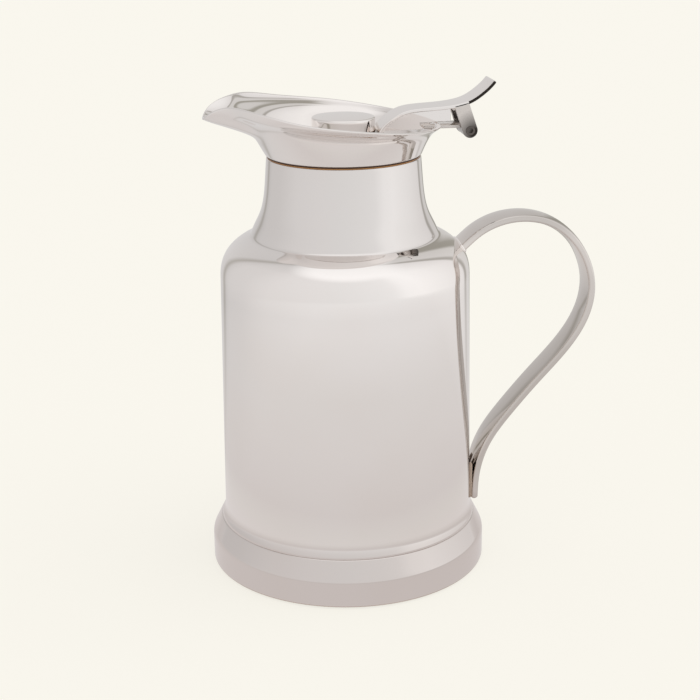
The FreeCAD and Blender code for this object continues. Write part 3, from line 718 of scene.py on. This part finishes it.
def settle(piece, node, stands_for=True, wear_and_shade=None):
    """Gives a piece its node's body and finish, or one worn or with painted shade, and on demand hides
    the node behind it.
    """
    slot = slot_of(node)
    piece.data.materials.clear()
    piece.data.materials.append(finish_of(wear_and_shade or slot))
    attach(piece, body_of(node))
    if stands_for:
        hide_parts(node)
    return piece


def joined_piece(name, pieces):
    """One object from several meshes."""
    work = bmesh.new()
    for piece in pieces:
        work.from_mesh(piece.data)
    mesh = bpy.data.meshes.new(name)
    work.to_mesh(mesh)
    work.free()
    for piece in pieces:
        bpy.data.objects.remove(piece)
    return linked(name, mesh)


def sheet_section(run, depth, step, top_round, foot_round):
    """Closed section of a sheet: the run's outside, round top edge, the inside a depth in, round foot."""
    outside = joined(run, step)
    inside = outside + normals(outside) * depth
    turn = HALF_TURN[:, None]
    ends = []
    for tip, root, rise in ((outside[-1], inside[-1], top_round), (inside[0], outside[0], -foot_round)):
        lift = np.array([0.0, rise])
        ends.append((tip + root) / 2 + (tip - root) / 2 * np.cos(turn) + lift * (np.sin(turn) - 1))
    return np.vstack([outside[:-1], ends[0], inside[::-1][1:], ends[1]])


def shell_run():
    """Outside of the body: flared edge, tapered wall, shoulder, softened crease, hollow sweep, neck."""
    wall_edge = np.array([WALL_LOW_R + WALL_FLARE, FOOT_TOP])
    wall_low = np.array([WALL_LOW_R, WALL_LOW])
    wall_top = np.array([WALL_LOW_R - WALL_TAPER, WALL_TOP])
    crease = np.array([wall_top[0] - SHOULDER_IN, SHOULDER_TOP])
    sweep_top = np.array([NECK_R, NECK_SWEEP_TOP])
    edge = np.array([NECK_EDGE_R, NECK_TOP])
    rise = SHOULDER_TOP - WALL_TOP
    sweep = NECK_SWEEP_TOP - SHOULDER_TOP
    shoulder = stretch([wall_top, wall_top + unit(wall_top - wall_low) * SHOULDER_PULL[0] * rise,
                        crease + polar(-SHOULDER_SLOPE) * SHOULDER_PULL[1] * SHOULDER_IN, crease],
                       0, CREASE_START)
    neck = stretch([crease, crease + polar(90 + NECK_LEAN) * NECK_PULL[0] * sweep,
                    sweep_top - unit(edge - sweep_top) * NECK_PULL[1] * sweep, sweep_top], CREASE_END, 1)
    ease = FLARE_PULL * (WALL_LOW - FOOT_TOP)
    flare = [wall_edge, wall_edge + unit(wall_edge - np.array([FOOT_R, FOOT_BAND])) * ease,
             wall_low - unit(wall_top - wall_low) * ease, wall_low]
    return [flare, [wall_low, wall_top], shoulder, [shoulder[-1], crease, neck[0]], neck, [sweep_top, edge]]


def foot_run():
    """Outside of the foot: upright band, rounded edge and a sloping ring in to the wall's flared edge."""
    band_top = np.array([FOOT_R, FOOT_BAND])
    seam = np.array([WALL_LOW_R + WALL_FLARE, FOOT_TOP])
    low = band_top - np.array([0, FOOT_EDGE])
    start = band_top + unit(seam - band_top) * FOOT_EDGE
    return [[(FOOT_R, FOOT_LOW), low], [low, band_top, start], [start, seam]]


def strap_points():
    """Points of the handle's middle line, from just inside the shoulder round to its lower end."""
    shares = np.array(STRAP_SHAPE)
    x = WALL_LOW_R + STRAP_T / 2 + (STRAP_REACH - STRAP_T / 2) * shares[:, 0]
    points = np.stack([x, FOOT_TOP + STRAP_LIFT + STRAP_RISE * shares[:, 1]], axis=1)
    return np.vstack([points[0] + unit(points[0] - points[1]) * STRAP_SINK, points])


def joint_line(rows):
    """Closed line where a carried strip leaves the shell, and the shell's outward way along it.

    For each point of the strip's section it is the first place, from the root on, outside the shell's radius.
    """
    run = joined(shell_run(), JOINT_STEP)
    over = np.hypot(rows[..., 0], rows[..., 1]) - np.interp(rows[..., 2], run[:, 1], run[:, 0])
    first = np.argmax(over > 0, axis=0)
    column = np.arange(rows.shape[1])
    low, high = over[first - 1, column], over[first, column]
    share = (low / (low - high))[:, None]
    line = rows[first - 1, column] * (1 - share) + rows[first, column] * share
    lean = np.interp(line[:, 2], run[:, 1], -np.gradient(run[:, 0], run[:, 1]))
    size = np.hypot(line[:, 0], line[:, 1])
    return line, np.stack([line[:, 0] / size, line[:, 1] / size, lean], axis=1)


def strap_section(thick, wide, round_r, crown):
    """Rounded rectangle of (out, across) points, thinned by a crown on each wide face towards its edges."""
    corners = [(-thick / 2, -wide / 2), (thick / 2, -wide / 2), (thick / 2, wide / 2), (-thick / 2, wide / 2)]
    outline = rounded(corners, round_r)
    face = np.stack([np.full_like(FACE_SHARES, thick / 2), FACE_SHARES * wide], axis=1)
    half = len(outline) // 2
    outline = np.vstack([outline[:half], face, outline[half:], -face])
    outline[:, 0] *= 1 - 2 * crown / thick * (2 * outline[:, 1] / wide) ** 2
    return outline


def bowl_levels():
    """A running number up the bowl's rows and the rows' shares, for a smooth curve through them."""
    shape = np.array(BOWL_SHAPE)
    return lengths(shape[:, [0, 2]]), shape


def bowl_points(level, angle, draw):
    """Bowl surface: a tilted, leaning flare plus a spout that falls off as a bell curve.

    Level runs up the bowl, angle is measured off the spout and draw moves the wall in and up.
    """
    knots, shape = bowl_levels()
    height, tilt, flare, nose = np.moveaxis(natural(knots, shape, level), -1, 0)
    lean = np.cos(angle)
    radius = COLLAR_LOW_R + flare * (BOWL_FLARE + BOWL_FLARE_LEAN * lean) - draw
    radius = radius + nose * SPOUT_DRAW * 0.5 ** ((np.degrees(angle) / SPOUT_HALF_ANGLE) ** 2)
    return np.stack([-radius * lean, radius * np.sin(angle),
                     COLLAR_LOW + height * BOWL_H + tilt * BOWL_TILT * lean + draw], axis=-1)


def rim_height(x):
    """Height of the rim over the collar's lower edge: a spline of X alone."""
    points = np.array([
        (-SPOUT_R - RIM_PAST, RIM_TIP_H - RIM_TIP_FALL),
        (-SPOUT_R, RIM_TIP_H),
        (-RIM_PEAK_X - TIP_SHARE[0] * (SPOUT_R - RIM_PEAK_X),
         RIM_TIP_H + TIP_SHARE[1] * (RIM_PEAK_H - RIM_TIP_H)),
        (-RIM_PEAK_X, RIM_PEAK_H),
        (-SIDE_SHARE[0] * RIM_PEAK_X, RIM_SIDE_H + SIDE_SHARE[1] * (RIM_PEAK_H - RIM_SIDE_H)),
        (0.0, RIM_SIDE_H),
        (BACK_SHARE[0] * BACK_R, RIM_BACK_H + BACK_SHARE[1] * (RIM_SIDE_H - RIM_BACK_H)),
        (BACK_R + RIM_PAST, RIM_BACK_H - RIM_BACK_FALL),
    ])
    return natural(points[:, 0], points[:, 1:], x)[..., 0]


def level_where(angle, draw, over):
    """Running number up the bowl at which a test of its points turns true, found by halving."""
    low = np.zeros_like(angle)
    high = np.full_like(angle, bowl_levels()[0][-2])
    for _ in range(HALVINGS):
        middle = (low + high) / 2
        past = over(bowl_points(middle, angle, draw))
        high = np.where(past, middle, high)
        low = np.where(past, low, middle)
    return (low + high) / 2


def collar_rows(lip, steps):
    """Closed skin of the collar: outside, rounded lip, inside, floor, throat hole and the hollow below."""
    share = np.arange(steps) * 2 / steps - 1
    angle = np.pi * ((1 - SPOUT_CROWD) * share + SPOUT_CROWD * share ** 3)
    floor_z = COLLAR_LOW + FLOOR_LIFT

    def at_rim(point):
        """Whether a point is past the root of the rim's lip."""
        return point[..., 2] - COLLAR_LOW > rim_height(point[..., 0]) - lip

    def wall(low_z, draw, climb):
        """The bowl's wall at shares of the way from a height up to the lip."""
        low = level_where(angle, draw, lambda point: point[..., 2] > low_z)
        top = level_where(angle, draw, at_rim)
        return bowl_points(low + climb * (top - low), angle + 0 * climb, draw)

    outside = wall(COLLAR_LOW + LOW_EDGE_UP, 0.0, np.linspace(0, 1, OUTSIDE_ROWS)[:, None])
    inside = wall(floor_z, COLLAR_SHEET, np.linspace(1, 0, INSIDE_ROWS)[:, None])
    turn = HALF_TURN[:, None, None]
    middle = (outside[-1] + inside[0]) / 2
    half = (outside[-1] - inside[0]) / 2
    edge = middle + half * np.cos(turn) + np.array([0, 0, lip]) * np.sin(turn)
    under_z = floor_z - FLOOR_T
    floor_r = np.linalg.norm(inside[-1, :, :2], axis=1).min()
    rings = [
        (floor_r - FLOOR_CORNER, floor_z), (floor_r - FLOOR_MARGIN, floor_z),
        (HOLE_R + FLOOR_MARGIN, floor_z), (HOLE_R + HOLE_EASE, floor_z),
        (HOLE_R, floor_z - BEVEL), (HOLE_R, under_z + BEVEL), (HOLE_R + BEVEL, under_z),
        (CORE_R - BEVEL, under_z), (CORE_R, under_z - BEVEL), (CORE_R, COLLAR_LOW + CORE_EASE),
        (CORE_R + CORE_EASE, COLLAR_LOW),
        *((COLLAR_LOW_R - inward, COLLAR_LOW + up) for inward, up in LOW_EDGE),
    ]
    radius, height = np.array(rings).T[:, :, None]
    below = np.stack([-radius * np.cos(angle), radius * np.sin(angle), height + 0 * angle], axis=2)
    return np.concatenate([outside, edge, inside, below])


def lever_points():
    """Points of the lever's middle line: foot on the lid plate, knee, flat stretch, thumb end."""
    run = PIN_X - LEVER_FOOT_X
    rise = LEVER_Z - LEVER_LOW
    knee = [(LEVER_FOOT_X + along * run, LEVER_LOW + up * rise) for along, up in KNEE_SHAPE]
    flat = [(LEVER_FOOT_X + along * run, LEVER_Z + up * THUMB_RISE) for along, up in FLAT_SHAPE]
    thumb = [(PIN_X + along * THUMB_OUT, LEVER_Z + up * THUMB_RISE) for along, up in THUMB_SHAPE]
    return knee + flat + thumb


class CARAFE_OT_body(bpy.types.Operator):
    """Body and foot: outside runs turned round the axis, with their insides a sheet deeper"""
    bl_idname = "carafe.body"
    bl_label = "Body and foot"

    def execute(self, context):
        sizes = context.scene.carafe_sizes
        edge = sizes.neck_round / MM
        shell = sheet_section(shell_run(), SHEET, SHELL_STEP, edge, SEAM_ROUND)
        foot = sheet_section(foot_run(), SHEET, FOOT_STEP, SEAM_ROUND, edge)
        for name, section, node in (("shell_skin", shell, "outer_shell"), ("foot_skin", foot, "foot_ring")):
            settle(grid_piece(name, spun(section, sizes.round_steps), loop_rows=True), node)
        return {"FINISHED"}


class CARAFE_OT_handle(bpy.types.Operator):
    """Strap handle: a crowned section carried along its middle line, with solder beads at its joints"""
    bl_idname = "carafe.handle"
    bl_label = "Handle"

    def execute(self, context):
        sizes = context.scene.carafe_sizes
        section = strap_section(STRAP_T, STRAP_W, sizes.strap_round / MM, sizes.strap_crown / MM)
        rows = strip_rows(strap_points(), section, STRAP_END, STRAP_ROWS)
        settle(grid_piece("handle_strap", rows, caps=True), "handle", wear_and_shade="handle_wear")
        self.upper_bead(rows, sizes.bead / MM)
        self.lower_beads(sizes.bead / MM)
        return {"FINISHED"}

    def upper_bead(self, rows, radius):
        """Round bar along the closed line where the strap leaves the shoulder."""
        line, out = joint_line(rows)
        around = np.concatenate([line[-2:], line, line[:2]])
        bead = tube_rows(around, radius, np.concatenate([out[-2:], out, out[:2]]))[2:-2]
        settle(grid_piece("upper_solder", bead, loop_rows=True), "handle", stands_for=False)

    def lower_beads(self, radius):
        """Round bars that fill the corners between the strap's edges and the wall, thinning to both ends."""
        share = np.linspace(0, 1, SOLDER_POINTS)
        height = FOOT_TOP + SOLDER_LOW + SOLDER_RISE * share
        from_end = np.minimum(share + SOLDER_TIP, 1 + SOLDER_TIP - share)
        thick = SOLDER_SWELL * radius * np.clip(SOLDER_TAPER * from_end, 0, 1) ** 0.5
        for side, name in ((-1, "near_solder"), (1, "far_solder")):
            across = np.full_like(share, side * (STRAP_W / 2 - SOLDER_IN))
            line = np.stack([np.full_like(share, WALL_LOW_R + SOLDER_OUT), across, height], axis=1)
            out = np.broadcast_to([0.0, side, 0.0], line.shape)
            bead = grid_piece(name, tube_rows(line, thick, out), caps=True)
            settle(bead, "handle", stands_for=False, wear_and_shade="handle_joint")


class CARAFE_OT_collar(bpy.types.Operator):
    """Collar: the bowl's formula trimmed at the rim, with its lip, inside, floor and hollow"""
    bl_idname = "carafe.collar"
    bl_label = "Collar"

    def execute(self, context):
        rows = collar_rows(context.scene.carafe_sizes.rim_lip / MM, COLLAR_STEPS)
        settle(grid_piece("collar_bowl", rows, loop_rows=True), "collar")
        return {"FINISHED"}


class CARAFE_OT_hinge(bpy.types.Operator):
    """Hinge: lug and knuckle on the collar, two ears on a bridge, and the hollow-ended pin"""
    bl_idname = "carafe.hinge"
    bl_label = "Hinge"

    def execute(self, context):
        ease = context.scene.carafe_sizes.edge_ease / MM
        lug = rounded([(LUG_START, LUG_TOP - LUG_T), (LUG_END, LUG_TOP - LUG_T),
                       (LUG_END, LUG_TOP), (LUG_START, LUG_TOP)], ease)
        lug = grid_piece("lug", plate_rows(lug, -KNUCKLE_END, KNUCKLE_END, ease), caps=True)
        knuckle = rounded([(KNUCKLE_BORE, -KNUCKLE_END), (KNUCKLE_R, -KNUCKLE_END),
                           (KNUCKLE_R, KNUCKLE_END), (KNUCKLE_BORE, KNUCKLE_END)], ease)
        knuckle = grid_piece("knuckle", along_y(spun(knuckle, SMALL_STEPS), PIN_X, PIN_Z), loop_rows=True)
        settle(joined_piece("hinge_lug", [lug, knuckle]), "hinge_bracket", wear_and_shade="hinge_wear")
        settle(self.fork(ease), "hinge_fork", wear_and_shade="hinge_wear")
        settle(self.pin(ease), "hinge_pin", wear_and_shade="pin_wear")
        return {"FINISHED"}

    def fork(self, ease):
        """Each ear is a leaning blade with a round end; the bridge joins them under the lever."""
        path = smooth_line(lever_points(), LEVER_POINTS)
        lean = unit(np.array([-EAR_LEAN, LEVER_Z - PIN_Z]))
        side = np.array([lean[1], -lean[0]])
        turn = np.linspace(0, -np.pi, EAR_POINTS)[:, None]
        pin = np.array([PIN_X, PIN_Z])
        bottom = pin + EAR_R * (side * np.cos(turn) + lean * np.sin(turn))
        tops = []
        for way in (-1, 1):
            start = pin + side * way * EAR_R
            reach = np.interp(start[0] + lean[0] * EAR_RISE, path[:, 0], path[:, 1]) - start[1]
            tops.append(start + lean * reach / lean[1])
        outline = np.vstack([bottom, tops])
        left, right = tops
        drop = np.array([0, BRIDGE_DROP])
        bridge = rounded([left - drop, right - drop, right, left], ease)
        inner = EAR_OUT - EAR_T
        lap = inner + BRIDGE_LAP
        return joined_piece("hinge_ears", [
            grid_piece("near_ear", plate_rows(outline, -EAR_OUT, -inner, ease), caps=True),
            grid_piece("far_ear", plate_rows(outline, inner, EAR_OUT, ease), caps=True),
            grid_piece("bridge", plate_rows(bridge, -lap, lap, ease), caps=True),
        ])

    def pin(self, ease):
        """Round bar with a shallow socket in each end."""
        deep = PIN_END - PIN_SOCKET_DEPTH
        half = rounded([(0, deep), (PIN_SOCKET_R, deep), (PIN_SOCKET_R, PIN_END), (PIN_R, PIN_END),
                        (PIN_R, -PIN_END), (PIN_SOCKET_R, -PIN_END), (PIN_SOCKET_R, -deep), (0, -deep)], ease)
        half[:, 0] = np.maximum(half[:, 0], 0)
        return grid_piece("hinge_rivet", along_y(spun(half, SMALL_STEPS), PIN_X, PIN_Z), loop_rows=True)


class CARAFE_OT_lever(bpy.types.Operator):
    """Lever: a round-edged strip carried along its bent line, with a stiffening web below"""
    bl_idname = "carafe.lever"
    bl_label = "Lever"

    def execute(self, context):
        sizes = context.scene.carafe_sizes
        section = strap_section(LEVER_T, LEVER_W, sizes.lever_round / MM, LEVER_CROWN)
        rows = strip_rows(lever_points(), section, LEVER_END, LEVER_ROWS)
        strip = grid_piece("strip", rows, caps=True)
        path = smooth_line(lever_points(), LEVER_ROWS)
        x = np.linspace(WEB_START, WEB_END, WEB_POINTS)
        top = np.interp(x, path[:, 0], path[:, 1])
        low = np.interp(x, [WEB_STEP_LOW_X, WEB_STEP_X], [LEVER_LOW, WEB_OVER])
        low = np.minimum(low, top - WEB_LEAST)
        outline = np.vstack([np.stack([x, low], axis=1), np.stack([x, top], axis=1)[::-1]])
        web = grid_piece("web", plate_rows(outline, -WEB_T / 2, WEB_T / 2, WEB_EASE), caps=True)
        lever = settle(joined_piece("thumb_lever", [strip, web]), "lid_lever")
        self.paint_edge_shade(lever.data)
        return {"FINISHED"}

    def paint_edge_shade(self, mesh):
        """Gives the strip's cut sides over and past the pin a dull near-black finish: painted shade and dark
        reflection.
        """
        mesh.materials.append(finish_of("lever_edge"))
        centre = np.empty(3 * len(mesh.polygons), np.float32)
        way = np.empty_like(centre)
        mesh.polygons.foreach_get("center", centre)
        mesh.polygons.foreach_get("normal", way)
        edge = (centre[0::3] > SAWN_FROM * MM) & (np.abs(way[1::3]) > SAWN_TURN)
        mesh.polygons.foreach_set("material_index", edge.astype(np.int32))


class CARAFE_OT_cap(bpy.types.Operator):
    """Lid cap: upright side, rounded edge and crowned top turned round the axis, hollow below"""
    bl_idname = "carafe.cap"
    bl_label = "Lid cap"

    def execute(self, context):
        outer = self.dome(CAP_R, CAP_TOP, CAP_ROUND)
        inner = self.dome(CAP_R - CAP_WALL, CAP_TOP - CAP_WALL, CAP_ROUND - CAP_WALL)
        rows = spun(np.vstack([outer, inner[::-1]]), context.scene.carafe_sizes.round_steps)
        settle(grid_piece("lid_dome", rows, loop_rows=True), "lid_cap")
        return {"FINISHED"}

    def dome(self, radius, top, round_r):
        """Row of points up a side, round its edge and in to the middle of a crowned top."""
        edge = top - CAP_CROWN
        side = edge - round_r
        flat = radius - round_r
        pull = CAP_PULL * round_r
        return joined([
            [(radius, CAP_LOW), (radius, side)],
            [(radius, side), (radius, side + pull), (flat + pull, edge), (flat, edge)],
            [(flat, edge), (radius / 2, top), (radius / 4, top), (0, top)],
        ], CAP_STEP)


class CARAFE_OT_finish(bpy.types.Operator):
    """Inner and hidden pieces: each keeps its solid and takes its real finish"""
    bl_idname = "carafe.finish"
    bl_label = "Inner pieces"

    def execute(self, context):
        for name, piece in frame["nodes"].items():
            if not piece.hide_render:
                piece.data.materials.clear()
                piece.data.materials.append(finish_of(slot_of(name)))
        return {"FINISHED"}


class CARAFE_OT_studio(bpy.types.Operator):
    """Studio: pale floor, even sky, soft key light and the camera"""
    bl_idname = "carafe.studio"
    bl_label = "Studio"

    def execute(self, context):
        scene = context.scene
        scene.view_settings.view_transform = "Standard"
        self.floor(scene)
        self.sky(scene)
        self.key(scene)
        self.camera(scene)
        return {"FINISHED"}

    def floor(self, scene):
        """Flat disc under the object."""
        floor = grid_piece("floor", spun(np.array([(0, 0), (FLOOR_R / MM, 0)]), SMALL_STEPS))
        floor.data.flip_normals()
        floor.data.materials.append(material("pale_paper_floor", self.paper, scene.carafe_colours.floor))

    def paper(self, tree, place, colour):
        """Pale paper; reflections see it with painted shade close to the object, fading outwards into the tent's
        panels.
        """
        far = add(tree, "VectorMath", links={0: place}, operation="LENGTH")
        near = add(tree, "ValToRGB", links={"Fac": far}, stops=MIRRORED_FLOOR_SHADE)
        off = add(tree, "VectorMath", {1: FADE_CENTRE}, {0: place}, operation="DISTANCE")
        fade = add(tree, "MapRange", {"From Min": FADE_START, "From Max": FADE_END}, {"Value": off})
        tone = add(tree, "Mix", links={"Factor": fade, "A": near, "B": self.panels(tree, place)},
                   data_type="RGBA")
        mirrored = add(tree, "Emission", links={"Color": tone})
        lit = add(tree, "BsdfDiffuse", {"Color": colour})
        plain = add(tree, "Emission", {"Color": colour})
        ray = add(tree, "LightPath").outputs
        share = add(tree, "Math", {1: PAPER_PLAIN}, {0: ray["Is Camera Ray"]}, operation="MULTIPLY")
        seen = add(tree, "MixShader", links={0: share, 1: lit, 2: plain})
        return add(tree, "MixShader", links={0: self.mirror_rays(tree, ray), 1: seen, 2: mirrored})

    def mirror_rays(self, tree, ray):
        """1 for rays that left a mirror or glass, 0 for others."""
        return add(tree, "Math", links={0: ray["Is Glossy Ray"], 1: ray["Is Transmission Ray"]},
                   operation="MAXIMUM")

    def panels(self, tree, way):
        """The panels' tone by a way's turn round from the camera side; their seams lean in with height."""
        axes = add(tree, "SeparateXYZ", links={0: way}).outputs
        front = add(tree, "Math", {1: -1.0}, {0: axes["Y"]}, operation="MULTIPLY")
        turn = add(tree, "Math", links={0: axes["X"], 1: front}, operation="ARCTAN2")
        lean = add(tree, "Math", {1: SEAM_LEAN, 2: 1.0}, {0: axes["Z"]}, operation="MULTIPLY_ADD")
        seam = add(tree, "Math", links={0: turn, 1: lean}, operation="MULTIPLY")
        share = add(tree, "MapRange", {"From Min": -math.pi, "From Max": math.pi}, {"Value": seam})
        return add(tree, "ValToRGB", links={"Fac": share},
                   stops=[((degrees + 180) / 360, tone) for degrees, tone in PANELS])

    def sky(self, scene):
        """Even world light; the camera sees a pale backdrop and reflections the tent's panels and roof."""
        world = bpy.data.worlds.new("studio")
        world.use_nodes = True
        tree = world.node_tree
        tree.nodes.clear()
        way = add(tree, "TexCoord").outputs["Generated"]
        high = add(tree, "VectorMath", {1: ROOF_WAY}, {0: way}, operation="DOT_PRODUCT")
        share = add(tree, "MapRange", {"From Min": ROOF_START, "From Max": ROOF_END}, {"Value": high},
                    interpolation_type="SMOOTHSTEP")
        tent = add(tree, "Mix", {"B": linear(ROOF)}, {"Factor": share, "A": self.panels(tree, way)},
                   data_type="RGBA")
        even = add(tree, "Background", {"Color": linear("#FFFFFF"), "Strength": scene.carafe_studio.sky})
        back = add(tree, "Background", {"Color": scene.carafe_colours.floor})
        mirrored = add(tree, "Background", links={"Color": tent})
        ray = add(tree, "LightPath").outputs
        seen = add(tree, "MixShader", links={0: ray["Is Camera Ray"], 1: even, 2: back})
        both = add(tree, "MixShader", links={0: self.mirror_rays(tree, ray), 1: seen, 2: mirrored})
        add(tree, "OutputWorld", links={"Surface": both})
        scene.world = world

    def key(self, scene):
        """Broad soft light from the upper right, hidden from reflections."""
        lamp = bpy.data.lights.new("key", "SUN")
        lamp.energy = scene.carafe_studio.key
        lamp.angle = KEY_SPREAD
        key = linked("key", lamp)
        key.rotation_euler = Vector(KEY_WAY).to_track_quat("Z", "Y").to_euler()
        key.visible_glossy = False

    def camera(self, scene):
        """Camera at the photographed height and turn."""
        studio = scene.carafe_studio
        lens = bpy.data.cameras.new("camera")
        lens.lens = studio.lens
        lens.sensor_width = SENSOR_MM
        lens.clip_end = VIEW_END
        camera = linked("camera", lens)
        pan, tilt, roll = studio.camera_turn
        turn = Matrix.Rotation(pan, 4, "Z") @ Matrix.Rotation(tilt, 4, "X") @ Matrix.Rotation(roll, 4, "Z")
        camera.matrix_world = Matrix.Translation(Vector(studio.camera_place)) @ turn
        scene.camera = camera


class CARAFE_PT_panel(bpy.types.Panel):
    """Lists the carafe's settings and pieces"""
    bl_idname = "CARAFE_PT_panel"
    bl_label = "Serving carafe"
    bl_space_type = "VIEW_3D"
    bl_region_type = "UI"
    bl_category = "Carafe"

    def draw(self, context):
        for group in ("carafe_sizes", "carafe_colours", "carafe_studio"):
            settings = getattr(context.scene, group)
            column = self.layout.column()
            for name in settings.__annotations__:
                column.prop(settings, name)
        for step in STEPS:
            self.layout.operator(step.bl_idname)


STEPS = (CARAFE_OT_body, CARAFE_OT_handle, CARAFE_OT_collar, CARAFE_OT_hinge,
         CARAFE_OT_lever, CARAFE_OT_cap, CARAFE_OT_finish, CARAFE_OT_studio)
GROUPS = {"carafe_sizes": CarafeSizes, "carafe_colours": CarafeColours, "carafe_studio": CarafeStudio}


def register():
    for group in (*GROUPS.values(), *STEPS, CARAFE_PT_panel):
        bpy.utils.register_class(group)
    for name, group in GROUPS.items():
        setattr(bpy.types.Scene, name, PointerProperty(type=group))


def unregister():
    for name in GROUPS:
        delattr(bpy.types.Scene, name)
    for group in (CARAFE_PT_panel, *reversed(STEPS), *GROUPS.values()):
        bpy.utils.unregister_class(group)


def main():
    register()
    for step in STEPS:
        family, name = step.bl_idname.split(".")
        getattr(getattr(bpy.ops, family), name)()


if __name__ == "__main__":
    main()
